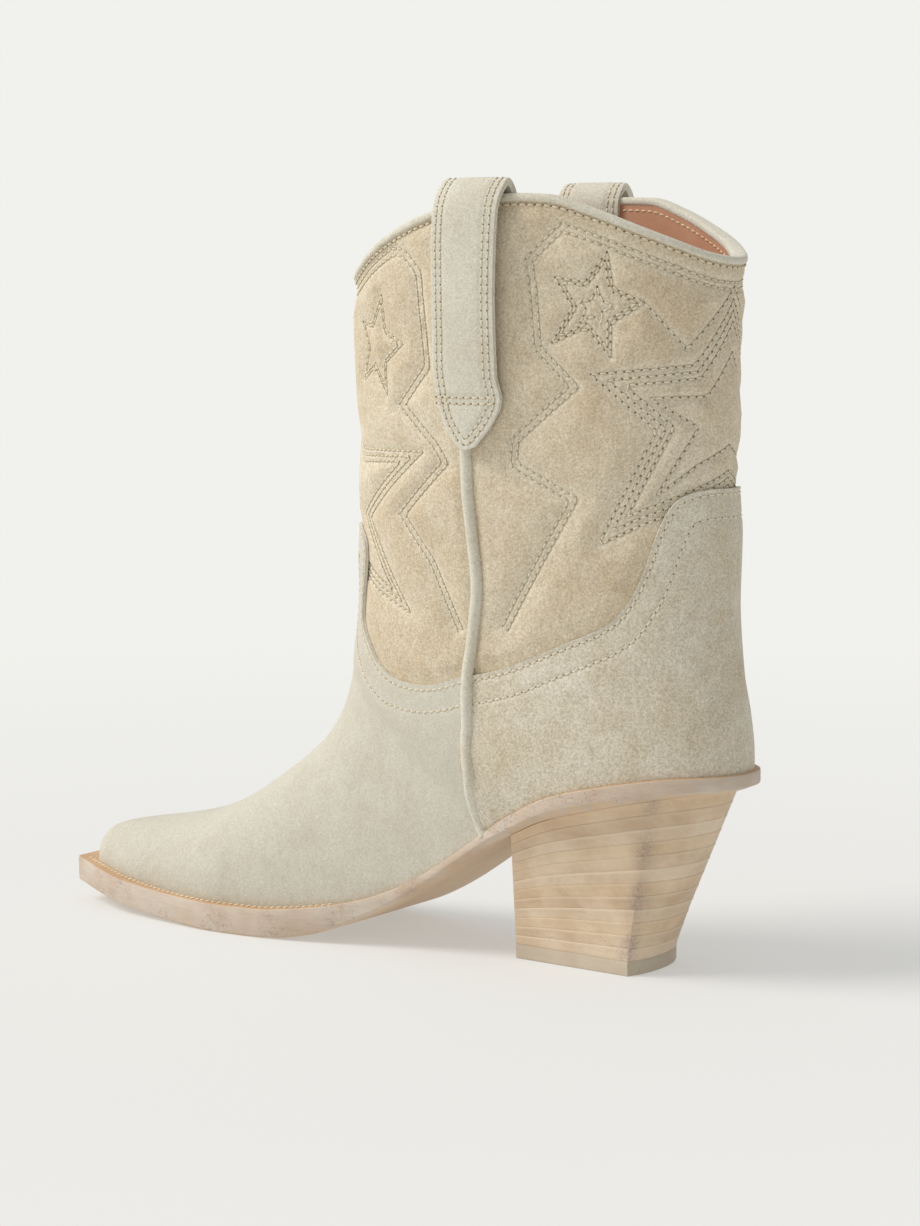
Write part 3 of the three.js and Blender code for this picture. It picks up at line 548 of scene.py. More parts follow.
def from_faces(name, points, faces):
    """A mesh from its points, in millimetres, and its faces."""
    mesh = bpy.data.meshes.new(name)
    mesh.from_pydata((points * MM).tolist(), [], faces)
    obj = bpy.data.objects.new(name, mesh)
    bpy.context.scene.collection.objects.link(obj)
    return obj


def tube(name, rings, loop=False):
    """A skin through rings of points, closed at its ends or into a loop."""
    around = np.concatenate([rings, rings[:, :1]], 1)
    if loop:
        around = np.concatenate([around, around[:1]])
    obj = sheet(name, around)
    steps = [lambda: bpy.ops.mesh.remove_doubles(threshold=1e-7)]
    if not loop:
        steps += [
            lambda: bpy.ops.mesh.select_all(action="DESELECT"),
            lambda: bpy.ops.mesh.select_non_manifold(),
            lambda: bpy.ops.mesh.fill_holes(sides=0),
        ]
    steps += [
        lambda: bpy.ops.mesh.select_all(action="SELECT"),
        lambda: bpy.ops.mesh.normals_make_consistent(inside=False),
    ]
    edit(obj, *steps)
    return obj


def mark(obj, name, values):
    """A value at each point of the mesh, for a material to read."""
    attribute = obj.data.attributes.new(name, "FLOAT", "POINT")
    attribute.data.foreach_set("value", np.asarray(values, np.float32).ravel())


def thicken(obj, thickness):
    """Gives a sheet its thickness, inwards from its face."""
    modifier = obj.modifiers.new("Thickness", "SOLIDIFY")
    modifier.thickness = thickness * MM
    modifier.offset = -1
    modifier.use_rim = True
    pick(obj)
    bpy.ops.object.modifier_apply(modifier=modifier.name)


def finished(obj, material, slot, replaces=(), smooth=42):
    """Shades a piece, gives it its material and hands it to the frame."""
    pick(obj)
    bpy.ops.object.shade_smooth_by_angle(angle=math.radians(smooth))
    obj.data.materials.clear()
    obj.data.materials.append(material)
    if replaces:
        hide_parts(*replaces)
    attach(obj, BODY)


def slopes(points):
    """Outward directions of a grid whose columns run round the boot and rows run up it."""
    return unit(np.cross(np.gradient(points, axis=1), np.gradient(points, axis=0)))


SNAP = 0.12  # a grid point this close to the cut lies on it
WELD = 0.03  # points closer than this become one


def trimmed(name, points, field, marks):
    """A grid of points kept where field is above 0 and cut cleanly along the line where it is 0."""
    rows, cols = field.shape
    flat, f = points.reshape(-1, 3), field.ravel().copy()
    f[np.abs(f) < SNAP] = 0
    index = {}
    verts, faces, values = [], [], {key: [] for key in marks}

    def corner(k, other=None):
        """A grid point's number in the mesh, or that of the cut between two grid points."""
        key = k if other is None else (min(k, other), max(k, other))
        if key not in index:
            index[key] = len(verts)
            t = 0 if other is None else f[k] / (f[k] - f[other])
            o = k if other is None else other
            verts.append(lerp(flat[k], flat[o], t))
            for m, source in marks.items():
                values[m].append(lerp(source.ravel()[k], source.ravel()[o], t))
        return index[key]

    for i in range(rows - 1):
        for j in range(cols - 1):
            ring = [i * cols + j, i * cols + j + 1, (i + 1) * cols + j + 1, (i + 1) * cols + j]
            if max(f[k] for k in ring) <= 0:
                continue
            face = []
            for k, after in zip(ring, ring[1:] + ring[:1]):
                if f[k] >= 0:
                    face.append(corner(k))
                if f[k] * f[after] < 0:
                    face.append(corner(k, after))
            if len(face) > 2:
                faces.append(face)
    obj = from_faces(name, np.array(verts), faces)
    for m, v in values.items():
        mark(obj, m, v)
    edit(obj, lambda: bpy.ops.mesh.remove_doubles(threshold=WELD * MM))
    return obj


# ---- Finishes ------------------------------------------------------------------------------------
class Net:
    """Adds nodes to a node tree; a keyword is an input, set to a value or linked from a socket."""

    def __init__(self, tree):
        self.tree = tree

    def add(self, kind, settings=None, **inputs):
        """A node. An input is given by its name, with _ for a space, or as i and its number."""
        node = self.tree.nodes.new(kind)
        for key, value in (settings or {}).items():
            setattr(node, key, value)
        for key, value in inputs.items():
            numbered = key[0] == "i" and key[1:].isdigit()
            socket = node.inputs[int(key[1:]) if numbered else key.replace("_", " ")]
            if isinstance(value, bpy.types.NodeSocket):
                self.tree.links.new(value, socket)
            else:
                socket.default_value = value
        return node

    def feed(self, sockets, **values):
        """Links outputs to the sockets of these names."""
        for key, value in values.items():
            self.tree.links.new(value, sockets[key.replace("_", " ")])

    def math(self, operation, a, b, clamp=False):
        settings = {"operation": operation, "use_clamp": clamp}
        return self.add("ShaderNodeMath", settings, i0=a, i1=b).outputs[0]

    def plus(self, a, b):
        return self.math("ADD", a, b)

    def minus(self, a, b):
        return self.math("SUBTRACT", a, b)

    def times(self, a, b, clamp=False):
        return self.math("MULTIPLY", a, b, clamp)

    def mix(self, factor, a, b, blend="MIX"):
        settings = {"data_type": "RGBA", "blend_type": blend}
        return self.add("ShaderNodeMix", settings, i0=factor, i6=a, i7=b).outputs[2]

    def toned(self, color, red, green, blue):
        """A colour with each of its parts made darker or lighter."""
        tone = self.add("ShaderNodeCombineColor", None, Red=red, Green=green, Blue=blue)
        return self.mix(1.0, color, tone.outputs[0], "MULTIPLY")

    def blend(self, output, factor, first, second):
        """Two shaders mixed, and sent to the tree's output."""
        mixed = self.add("ShaderNodeMixShader", None, i0=factor, i1=first.outputs[0], i2=second.outputs[0])
        self.add(output, None, Surface=mixed.outputs[0])

    def ramp(self, value, low, high, to_low=0.0, to_high=1.0):
        limits = {"i1": low, "i2": high, "i3": to_low, "i4": to_high}
        return self.add("ShaderNodeMapRange", {"clamp": True}, i0=value, **limits).outputs[0]

    def place(self, stretch=None):
        """Object coordinates, stretched if asked."""
        place = self.add("ShaderNodeTexCoord").outputs["Object"]
        return self.add("ShaderNodeMapping", None, Vector=place, Scale=stretch).outputs[0] if stretch else place

    def noise(self, vector, scale, detail, rough):
        node = self.add("ShaderNodeTexNoise", None, Vector=vector, Scale=scale, Detail=detail, Roughness=rough)
        return node.outputs[0]

    def attribute(self, name):
        return self.add("ShaderNodeAttribute", {"attribute_name": name}).outputs["Fac"]


def shader_group(name, **inputs):
    """A group with these inputs, whose outputs are a colour, a height and a roughness."""
    tree = bpy.data.node_groups.new(name, "ShaderNodeTree")
    for label, default in inputs.items():
        kind = "NodeSocketColor" if isinstance(default, tuple) else "NodeSocketFloat"
        tree.interface.new_socket(name=label, in_out="INPUT", socket_type=kind).default_value = default
    for label, kind in (("Color", "Color"), ("Height", "Float"), ("Roughness", "Float")):
        tree.interface.new_socket(name=label, in_out="OUTPUT", socket_type=f"NodeSocket{kind}")
    net = Net(tree)
    return net, net.add("NodeGroupInput").outputs, net.add("NodeGroupOutput").inputs


def rgb(red, green, blue):
    """A colour from its screen values, 0 to 255."""
    linear = lambda v: v / 12.92 if v <= 0.04045 else ((v + 0.055) / 1.055) ** 2.4
    return (*(linear(v / 255) for v in (red, green, blue)), 1.0)


def make_nap_group():
    """Short suede nap: mottled light and dark, a fine grain, and paler where it is pressed or cut."""
    net, given, made = shader_group(
        "Suede nap", Light=rgb(220, 212, 190), Dark=rgb(200, 182, 150), Pressed=rgb(226, 220, 202),
        Patches=0.5, Grain=1.0,
    )
    place = net.place()
    wide = net.noise(place, 26, 3, 0.55)
    middle = net.noise(place, 110, 3, 0.6)
    brushed = net.noise(net.place((1, 1, 0.45)), 330, 2, 0.6)
    fine = net.noise(place, 1050, 2, 0.65)
    specks = net.noise(place, 1900, 1, 0.5)
    patch = net.plus(net.times(wide, 0.62), net.times(middle, 0.38))
    dark = net.ramp(net.minus(net.plus(patch, given["Patches"]), 0.5), 0.38, 0.66)
    color = net.mix(dark, given["Light"], given["Dark"])
    color = net.mix(net.times(net.attribute("press"), 0.75, True), color, given["Pressed"])
    grain = net.plus(net.times(fine, 0.5), net.plus(net.times(specks, 0.5), net.times(brushed, 0.15)))
    depth = net.times(net.ramp(grain, 0.42, 0.72, -0.5, 0.5), given["Grain"])
    color = net.toned(color, *(net.plus(net.times(depth, share), 1.0) for share in (0.46, 0.48, 0.56)))
    height = net.plus(grain, net.times(brushed, 0.4))
    net.feed(made, Color=color, Height=height, Roughness=net.ramp(fine, 0.3, 0.7, 0.86, 1.0))
    return net.tree


def make_scuff_group():
    """Buffed leather: pale bloom, fine streaks along the edge, scattered scuffs and a painted highlight along
    the marked ridges.
    """
    net, given, made = shader_group(
        "Buffed leather", Base=rgb(214, 192, 170), Bloom=rgb(228, 216, 204), Scuff=rgb(168, 146, 140),
        Scuffs=0.5, Streaks=1.0,
    )
    place = net.place()
    bloom = net.noise(place, 55, 4, 0.6)
    streaks = net.noise(net.place((0.22, 0.22, 1.6)), 620, 3, 0.6)
    specks = net.noise(place, 1300, 2, 0.7)
    zones = net.noise(place, 70, 2, 0.5)
    color = net.mix(net.ramp(bloom, 0.36, 0.64), given["Base"], given["Bloom"])
    scuffed = net.times(net.ramp(specks, 0.56, 0.66), net.ramp(zones, 0.47, 0.62))
    color = net.mix(net.times(scuffed, given["Scuffs"], True), color, given["Scuff"])
    # Painted highlight: the ridge mark lightens the colour towards the bloom, standing in for light caught by
    # the ridge.
    color = net.mix(net.times(net.attribute("ridge"), 0.8, True), color, given["Bloom"])
    worn = net.times(net.attribute("wear"), net.ramp(specks, 0.38, 0.6, 0.35, 1.0), True)
    color = net.mix(worn, color, given["Scuff"])
    lines = net.plus(net.times(net.ramp(streaks, 0.35, 0.65, -0.09, 0.09), given["Streaks"]), 1.0)
    height = net.minus(net.times(streaks, 0.5), scuffed)
    roughness = net.ramp(bloom, 0.3, 0.7, 0.5, 0.68)
    net.feed(made, Color=net.toned(color, lines, lines, lines), Height=height, Roughness=roughness)
    return net.tree


nap_group = make_nap_group()
scuff_group = make_scuff_group()


def material(name, group, bump, reach, settings, **values):
    """A Principled material whose colour, roughness and bump come from a group; reach is in millimetres."""
    made = bpy.data.materials.new(name)
    made.use_nodes = True
    net = Net(made.node_tree)
    principled = next(n for n in net.tree.nodes if n.type == "BSDF_PRINCIPLED")
    for key, value in settings.items():
        principled.inputs[key].default_value = value
    placed = net.add("ShaderNodeGroup", {"node_tree": group}, **values).outputs
    raised = net.add("ShaderNodeBump", None, Strength=bump, Distance=reach * MM, Height=placed["Height"])
    colour, roughness, normal = placed["Color"], placed["Roughness"], raised.outputs[0]
    net.feed(principled.inputs, Base_Color=colour, Roughness=roughness, Normal=normal)
    return made


SUEDE = {
    "Specular IOR Level": 0.18, "Sheen Weight": 0.22, "Sheen Roughness": 0.55,
    "Sheen Tint": (1, 0.97, 0.9, 1),
}
SMOOTH_LEATHER = {"Specular IOR Level": 0.35}
METAL = {"Metallic": 1.0}


def suede(name, bump, reach, light, dark, pressed, patches, grain):
    return material(
        name, nap_group, bump, reach, SUEDE,
        Light=rgb(*light), Dark=rgb(*dark), Pressed=rgb(*pressed), Patches=patches, Grain=grain,
    )


def leather(name, bump, reach, base, bloom, scuff, scuffs, streaks, settings=SMOOTH_LEATHER):
    return material(
        name, scuff_group, bump, reach, settings,
        Base=rgb(*base), Bloom=rgb(*bloom), Scuff=rgb(*scuff), Scuffs=scuffs, Streaks=streaks,
    )


shaft_suede = suede("Shaft suede", 0.55, 0.5, (220, 208, 184), (205, 187, 157), (224, 215, 194), 0.5, 1.0)
vamp_suede = suede("Vamp suede", 0.4, 0.4, (206, 201, 186), (196, 187, 168), (212, 207, 194), 0.42, 0.5)
counter_suede = suede("Counter suede", 0.5, 0.5, (218, 210, 191), (202, 188, 161), (214, 207, 189), 0.48, 1.0)
trim_suede = suede("Trim suede", 0.45, 0.4, (218, 213, 197), (206, 197, 175), (224, 219, 204), 0.42, 0.6)
padding = suede("Padding felt", 0.4, 0.5, (236, 232, 222), (220, 214, 200), (236, 232, 222), 0.4, 0.8)

thread = leather("Cream thread", 0.2, 0.1, (224, 212, 184), (232, 222, 198), (204, 188, 156), 0.3, 0.6)
welt_thread = leather("Welt thread", 0.2, 0.1, (226, 202, 164), (236, 216, 184), (180, 146, 108), 0.3, 0.6)
# Painted shade: the needle-hole colours are darker than the leather, standing in for the shade inside each
# hole.
dark_hole_shade = leather("Dark hole painted shade", 0.1, 0.1, (128, 106, 76), (146, 124, 92), (100, 78, 52), 0.4, 0.6)
pale_hole_shade = leather("Pale hole painted shade", 0.1, 0.1, (172, 152, 118), (182, 164, 132), (150, 130, 98), 0.4, 1.0)
lining_leather = leather("Tan lining", 0.3, 0.2, (192, 140, 108), (200, 152, 122), (182, 120, 88), 0.25, 0.15)
sole_edge = leather("Sole edge", 0.5, 0.3, (202, 180, 158), (211, 197, 181), (162, 140, 132), 0.7, 0.5)
welt_top = leather("Welt top", 0.4, 0.2, (194, 156, 118), (206, 172, 136), (150, 112, 78), 0.5, 0.3)
sole_leather = leather("Sole leather", 0.3, 0.3, (207, 180, 150), (217, 194, 166), (178, 146, 112), 0.3, 0.2)
tip_rubber = leather("Heel tip rubber", 0.25, 0.2, (195, 179, 158), (204, 191, 170), (170, 156, 124), 0.35, 0.2)
board = leather("Leather board", 0.4, 0.3, (184, 156, 122), (196, 170, 138), (140, 112, 84), 0.6, 0.4)
cork = leather("Ground cork", 0.6, 0.5, (168, 122, 76), (188, 146, 98), (96, 64, 38), 0.9, 0.2)
steel = leather("Spring steel", 0.15, 0.1, (170, 172, 176), (186, 188, 192), (130, 126, 120), 0.3, 0.8, METAL)
heel_leather = [
    leather(f"Heel leather {tone}", 0.4, 0.2, base, bloom, (150, 132, 126), 0.15, 0.3)
    for tone, base, bloom in (
        ("light", (213, 188, 158), (230, 210, 184)),
        ("middle", (204, 177, 146), (226, 204, 176)),
        ("warm", (209, 181, 147), (228, 206, 176)),
    )
]


# ---- Sewing --------------------------------------------------------------------------------------
# A stitch, as a share of its half length, the thread's radius and the height of its middle.
THREAD_PROFILE = [(-1, 0.08, -0.3), (-0.62, 0.26, 0.06), (0, 0.32, 0.16), (0.62, 0.26, 0.06), (1, 0.08, -0.3)]
THREAD_SIDES = 6
HOLE_RADIUS = 0.32
HOLE_PROFILE = [(1, -0.35), (1, 0.03), (0.55, 0.1)]  # shares of the radius and heights
HOLE_SIDES = 7


def skinned(rings, sides):
    """Points and faces of a closed skin over rings of points."""
    faces = [
        [r * sides + k, r * sides + (k + 1) % sides, (r + 1) * sides + (k + 1) % sides, (r + 1) * sides + k]
        for r in range(len(rings) - 1) for k in range(sides)
    ]
    faces += [list(range(sides))[::-1], [(len(rings) - 1) * sides + k for k in range(sides)]]
    return np.vstack(rings), faces


def turns_of(sides):
    """Cosines and sines of directions evenly round a circle."""
    angles = np.arange(sides) * 2 * math.pi / sides
    return np.cos(angles), np.sin(angles)


def stitch_shape(length):
    """One stitch lying along x: a thread that dips into the leather at both ends."""
    cos, sin = turns_of(THREAD_SIDES)
    return skinned([
        np.column_stack([0 * cos + u * length / 2, radius * cos, lift + radius * 0.9 * sin])
        for u, radius, lift in THREAD_PROFILE
    ], THREAD_SIDES)


def hole_shape():
    """The dent where the needle goes through: a low dark button, its colour painted shade for the hole."""
    cos, sin = turns_of(HOLE_SIDES)
    return skinned([
        np.column_stack([HOLE_RADIUS * share * cos, HOLE_RADIUS * share * sin, 0 * cos + z])
        for share, z in HOLE_PROFILE
    ], HOLE_SIDES)


STITCH_SHARE = 0.84  # of the pitch, from hole to hole
NO_WAY = np.array([0.31, 0.2, 0.93])  # any direction that no hole faces


def scattered(name, shape, centres, along, out, made_of, slot):
    """Copies of a small shape, each turned to its place."""
    points, faces = shape
    across = unit(np.cross(out, along))
    along = np.cross(across, out)
    verts = centres[:, None] + sum(
        points[None, :, k:k + 1] * way[:, None] for k, way in enumerate((along, across, out))
    )
    n = len(points)
    everything = [[v + k * n for v in face] for k in range(len(centres)) for face in faces]
    finished(from_faces(name, verts.reshape(-1, 3), everything), made_of, slot, smooth=80)


def sew(name, lines, face, slot, made_of=thread, holes=dark_hole_shade):
    """Stitches and needle holes along lines, the holes dark buttons of painted shade; face(points) gives places
    and outward directions.
    """
    middles, ways, outs, pricks = [], [], [], []
    for line in lines:
        if len(line) < 2 or lengths(line)[-1] < STITCH:
            continue
        stops = walk(line, STITCH)
        centre, out = face((stops[:-1] + stops[1:]) / 2)
        ends, end_out = face(stops)
        middles.append(centre)
        outs.append(out)
        ways.append(np.diff(ends, axis=0))
        pricks.append((ends, end_out))
    centres, out, way = np.vstack(middles), np.vstack(outs), unit(np.vstack(ways))
    stitch = stitch_shape(STITCH * STITCH_SHARE)
    scattered(name + "_stitches", stitch, centres, way, out, made_of, slot)
    if holes:
        # Painted shade: dark buttons at the needle holes.
        spots, spot_out = np.vstack([p for p, _ in pricks]), np.vstack([o for _, o in pricks])
        turn = unit(np.cross(spot_out, NO_WAY))
        scattered(name + "_painted_hole_shade", hole_shape(), spots, turn, spot_out, holes, slot)


# ---- Shaft ---------------------------------------------------------------------------------------
CELL = 0.85  # size of a mesh cell on the upper
FRONT_LOW = curve([(0, 104), (20, 103), (28, 96), (35, 90), (44, 86.5), (55, 85), (67, 87), (81, 91)])
front_both, back_both = in_both(front_rows), in_both(border_rows + star_rows)
BINDING_COVER = 2.0  # how far the shaft runs up inside the binding
SEAM_TUCK = 0.3  # how far the panels stay out of the side seam
SEWN_LIFT = 0.3  # stitches pull the leather in, and lie on it


def counter_line(arc):
    """Height of the counter's edge at an arc from the back centre."""
    return np.interp(np.abs(arc), counter_edge[:, 0], counter_edge[:, 1])


def on_shaft(rows, lift=0.0):
    """The quilted face: places and outward directions of chart points."""
    def face(points):
        arc, z = points[..., 0], points[..., 1]
        base, out = shaft_at(arc, z), shaft_normal(arc, z)
        return base + out * (quilt(points, rows, base) + lift)[..., None], out

    return face


def quilted_panel(name, arcs, heights, rows, node):
    """A panel of the shaft on a grid of arcs and heights."""
    points = np.stack([arcs, heights], -1)
    places, _ = on_shaft(rows)(points)
    panel = sheet(name, places)
    mark(panel, "press", near_line(distance(points, rows), 1.4))
    thicken(panel, TOP_LEATHER)
    finished(panel, shaft_suede, "shaft_suede", [node])


def grid(columns, rows):
    return np.meshgrid(np.linspace(0, 1, columns), np.linspace(0, 1, rows))


def make_shaft_front():
    u, v = grid(int(2 * FRONT_ARC / CELL), int(152 / CELL))
    u = 1 - 2 * u
    heights = lerp(FRONT_LOW(np.abs(u) * FRONT_ARC), rim_at(u * FRONT_ARC) - BINDING_COVER, v)
    arcs = u * (FRONT_ARC + seam_drift(heights) - SEAM_TUCK)
    quilted_panel("shaft_front_quilted", arcs, heights, front_both, "shaft_front")
    sew("shaft_front", front_both, on_shaft(front_both, SEWN_LIFT), "trim_suede", holes=pale_hole_shade)


def make_shaft_back():
    reach = HALF_ARC - FRONT_ARC
    w, v = grid(int(2 * reach / CELL), int(140 / CELL))
    w = 2 * w - 1
    side = side_of(w)
    from_centre = np.abs(w) * reach
    low = counter_line(from_centre + 4) - 7
    heights = lerp(low, rim_at(side * (HALF_ARC - from_centre)) - BINDING_COVER, v)
    arcs = side * (HALF_ARC - np.abs(w) * (reach - seam_drift(heights) - SEAM_TUCK))
    quilted_panel("shaft_back_quilted", arcs, heights, back_both, "shaft_back")
    face = on_shaft(back_both, SEWN_LIFT)
    sew("shaft_back_border", in_both(border_rows), face, "trim_suede", holes=pale_hole_shade)
    sew("shaft_back_stars", in_both(star_rows), face, "trim_suede")


# ---- Vamp and counter ----------------------------------------------------------------------------
def on_lap(edge, rows, to_front):
    """The face of a lapped piece; to_front turns its arcs into arcs from the front centre."""
    def face(points):
        arc, z = to_front(points[..., 0]), points[..., 1]
        base, out = shaft_at(arc, z), shaft_normal(arc, z)
        return base + out * (lapped(points, edge, rows, base) + 0.05)[..., None], out

    return face


def lap_marks(points, edge, rows):
    """Paler at the cut edge and along the stitches."""
    near = np.stack([np.abs(points[..., 0]), points[..., 1]], -1)
    cut = 1 - smooth_step(0.2, 1.5, -height_over(points, edge))
    return np.maximum(cut, 0.7 * near_line(distance(near, rows), 1.2))


def even_sections(count, last):
    """Section numbers spaced evenly along the last, from the toe on."""
    s = np.linspace(0, last, 500)
    step = sum(np.linalg.norm(np.diff(front_point(s, c), axis=0), axis=1) for c in (0.0, 1.0)) / 2
    run = np.concatenate([[0], np.cumsum(step)])
    return np.interp(np.linspace(0, run[-1], count), run, s)


def make_vamp():
    s = even_sections(int(196 / CELL), 20.4)
    c = np.linspace(1, -1, 151)
    c_grid, s_grid = np.meshgrid(c, s)
    last = front_point(s_grid, c_grid)
    last[0, :, 1] = middle_y(0)
    out = slopes(last)
    out[0] = (-1, 0, 0)
    z = last[..., 2]
    arcs = side_of(c_grid) * FRONT_ARC * front_chart.share_at(np.abs(c_grid), np.maximum(z, FRONT_CHART_FOOT))
    points = np.stack([arcs, z], -1)
    places = last + out * lapped(points, vamp_edge, vamp_rows, last)[..., None]
    places[..., 2] -= 0.5 * (1 - smooth_step(0.0, 3.0, z - seat_z(last[..., 0])))
    field = -height_over(points, vamp_edge)
    vamp = trimmed("vamp_suede", places, field, {"press": lap_marks(points, vamp_edge, vamp_rows)})
    thicken(vamp, TOP_LEATHER)
    finished(vamp, vamp_suede, "foot_suede", ["vamp"])
    face = on_lap(vamp_edge, vamp_rows, lambda arc: arc)
    sew("vamp", in_both(vamp_rows), face, "trim_suede", holes=pale_hole_shade)


def back_to_front(arc):
    return side_of(arc) * (HALF_ARC - np.abs(arc))


def foot_of_back(arc):
    """Height where the counter meets the welt, at a signed arc from the front centre."""
    z = np.full(np.shape(arc), 60.0)
    for _ in range(8):
        z = np.maximum(seat_z(shaft_at(arc, z)[..., 0]), 44.0)
    return z


def make_counter():
    reach = HALF_ARC - FRONT_ARC
    w, v = grid(int(2 * reach / CELL), int(96 / CELL))
    arc = (2 * w - 1) * reach
    top = counter_line(np.maximum(np.abs(arc) - 4, 0)) + 3
    z = lerp(foot_of_back(back_to_front(arc)) - 0.5, top, v)
    arc *= (reach - seam_drift(z)) / reach
    points = np.stack([arc, z], -1)
    places, _ = on_lap(counter_edge, counter_rows, back_to_front)(points)
    marks = {"press": lap_marks(points, counter_edge, counter_rows)}
    counter = trimmed("heel_counter_suede", places, -height_over(points, counter_edge), marks)
    thicken(counter, TOP_LEATHER)
    finished(counter, counter_suede, "foot_suede", ["heel_counter"])
    face = on_lap(counter_edge, counter_rows, back_to_front)
    sew("heel_counter", in_both(counter_rows), face, "trim_suede")


# ---- Piping, binding and lining ------------------------------------------------------------------
PIPING_RADIUS = 2.1


def make_piping():
    turns = np.linspace(0, 2 * math.pi, 17)[:-1]
    for name, side in (("inner", -1), ("outer", 1)):
        z = np.linspace(44.2, rim_z(SEAM_X) - 2, 240)
        arc = side * (FRONT_ARC + seam_drift(z))
        out = shaft_normal(arc, z)
        stand = lerp(1.9, 0.5, smooth_step(92, 106, z))
        spine = shaft_at(arc, z) + out * stand[:, None]
        across = np.cross(out, unit(np.gradient(spine, axis=0)))
        radius = PIPING_RADIUS * (1 + 0.05 * soft_noise(spine, 7, 4))
        rings = spine[:, None] + radius[:, None, None] * (
            np.cos(turns)[None, :, None] * out[:, None] + np.sin(turns)[None, :, None] * across[:, None]
        )
        cord = tube(f"side_piping_{name}_bead", rings)
        finished(cord, trim_suede, "trim_suede", [f"side_piping_{name}"])


def rim_loop(count):
    """The top line all round: places, and level outward directions."""
    arc = np.linspace(-HALF_ARC, HALF_ARC, count + 1)[:-1]
    places, out = shaft_at(arc, rim_at(arc)), shaft_normal(arc, rim_at(arc))
    out[:, 2] = 0
    return places, unit(out)


BINDING_PROFILE = [
    (0.5, 2.7), (0.85, 2.4), (0.95, 1.7), (0.85, 0.95), (0.5, 0.4), (0.0, 0.1), (-0.9, 0), (-2.8, 0),
    (-3.8, 0.1), (-4.3, 0.4), (-4.65, 0.95), (-4.7, 1.7), (-4.6, 2.4), (-4.2, 2.7), (-2, 2.7),
]


def make_binding():
    places, out = rim_loop(300)
    lumps = 0.07 * soft_noise(places, 8, 11)
    rings = np.stack([
        places + out * (stand + lumps[:, None] * np.sign(stand + 2)) + np.array([0, 0, -drop])
        for stand, drop in BINDING_PROFILE
    ], 1)
    binding = tube("top_binding_suede", rings, loop=True)
    finished(binding, trim_suede, "trim_suede", ["top_binding"], smooth=60)
    arc = np.arange(-HALF_ARC, HALF_ARC + 1, 2)
    row = np.column_stack([arc, rim_at(arc) - 3.7])
    sew("rim", [row], on_shaft(front_both, 0.2), "trim_suede")


LINING_DEPTH = 3.35


def lining_face(points):
    arc, z = points[..., 0], points[..., 1]
    out = shaft_normal(arc, z)
    return shaft_at(arc, z) - out * (LINING_DEPTH + LINING), -out


def make_lining():
    u, v = grid(160, 60)
    arc = (1 - 2 * u) * HALF_ARC
    z = lerp(108.0, rim_at(arc) - 1.6, v)
    out = shaft_normal(arc, z)
    skin = shaft_at(arc, z) - out * (LINING_DEPTH + 0.12 * soft_noise(shaft_at(arc, z), 30, 6)[..., None])
    lining = sheet("shaft_lining_leather", skin)
    edit(lining, lambda: bpy.ops.mesh.remove_doubles(threshold=0.01 * MM))
    thicken(lining, LINING)
    finished(lining, lining_leather, "lining_leather", ["shaft_lining_front", "shaft_lining_back"])
    arc = np.arange(-HALF_ARC, HALF_ARC + 1, 2)
    row = np.column_stack([arc, rim_at(arc) - 4.6])
    sew("lining", [row], lining_face, "lining_leather", made_of=welt_thread, holes=False)


# ---- Pull straps ---------------------------------------------------------------------------------
# Distance from the boot's middle plane and height, of the strap's face by the wall.
STRAP_ROUTE = [
    (38.3, 173), (39.6, 188), (41.6, 203), (43.6, 225), (44.6, 243), (43.8, 253), (38, 258.8), (33.2, 254.6),
    (32.4, 245), (32.7, 232), (32.4, 214),
]
# The strap's edges: the run from its outer tip, and x.
STRAP_LEFT = [
    (0, -31.8), (1.2, -34.5), (8, -39), (15, -41.2), (25, -42), (50, -41), (85, -39.5), (300, -39.5),
]
STRAP_RIGHT = [
    (0, -30.6), (1.2, -27.5), (7, -22), (13, -18.2), (17, -17.2), (24, -18.6), (50, -18), (85, -16),
    (300, -16),
]
strap_line = spline(STRAP_ROUTE, 0.8)
strap_run = lengths(strap_line)
STRAP_LENGTH = strap_run[-1]


def on_strap(side, lift):
    """The strap's surface from x and the run from its tip, lifted off the face by the wall."""
    at = lambda run, k: np.interp(run, strap_run, strap_line[:, k])

    def face(points):
        x, run = points[..., 0], points[..., 1]
        half, z = at(run, 0), at(run, 1)
        dh, dz = (at(run + 0.4, k) - at(run - 0.4, k) for k in (0, 1))
        size = np.maximum(np.hypot(dh, dz), 1e-9)
        out_h, out_z = dz / size, -dh / size
        bow = 36 * (1 - np.sqrt(1 - ((x - SEAM_X) / 64) ** 2)) * out_h
        pillow = 0.35 * soft_noise(np.stack([x, half, z], -1), 14, 9)
        h = half - bow + (lift + pillow) * out_h
        place = np.stack([x, MID_Y + side * h, z + lift * out_z], -1)
        return place, np.stack([np.zeros_like(x), side * out_h, out_z], -1)

    return face


def strap_outline():
    left, right = ([(x, run) for run, x in edge[:-1]] for edge in (STRAP_LEFT, STRAP_RIGHT))
    ends = [(edge[-1][1], STRAP_LENGTH) for edge in (STRAP_LEFT, STRAP_RIGHT)]
    return np.array([ends[0]] + left[::-1] + right + [ends[1]], float)


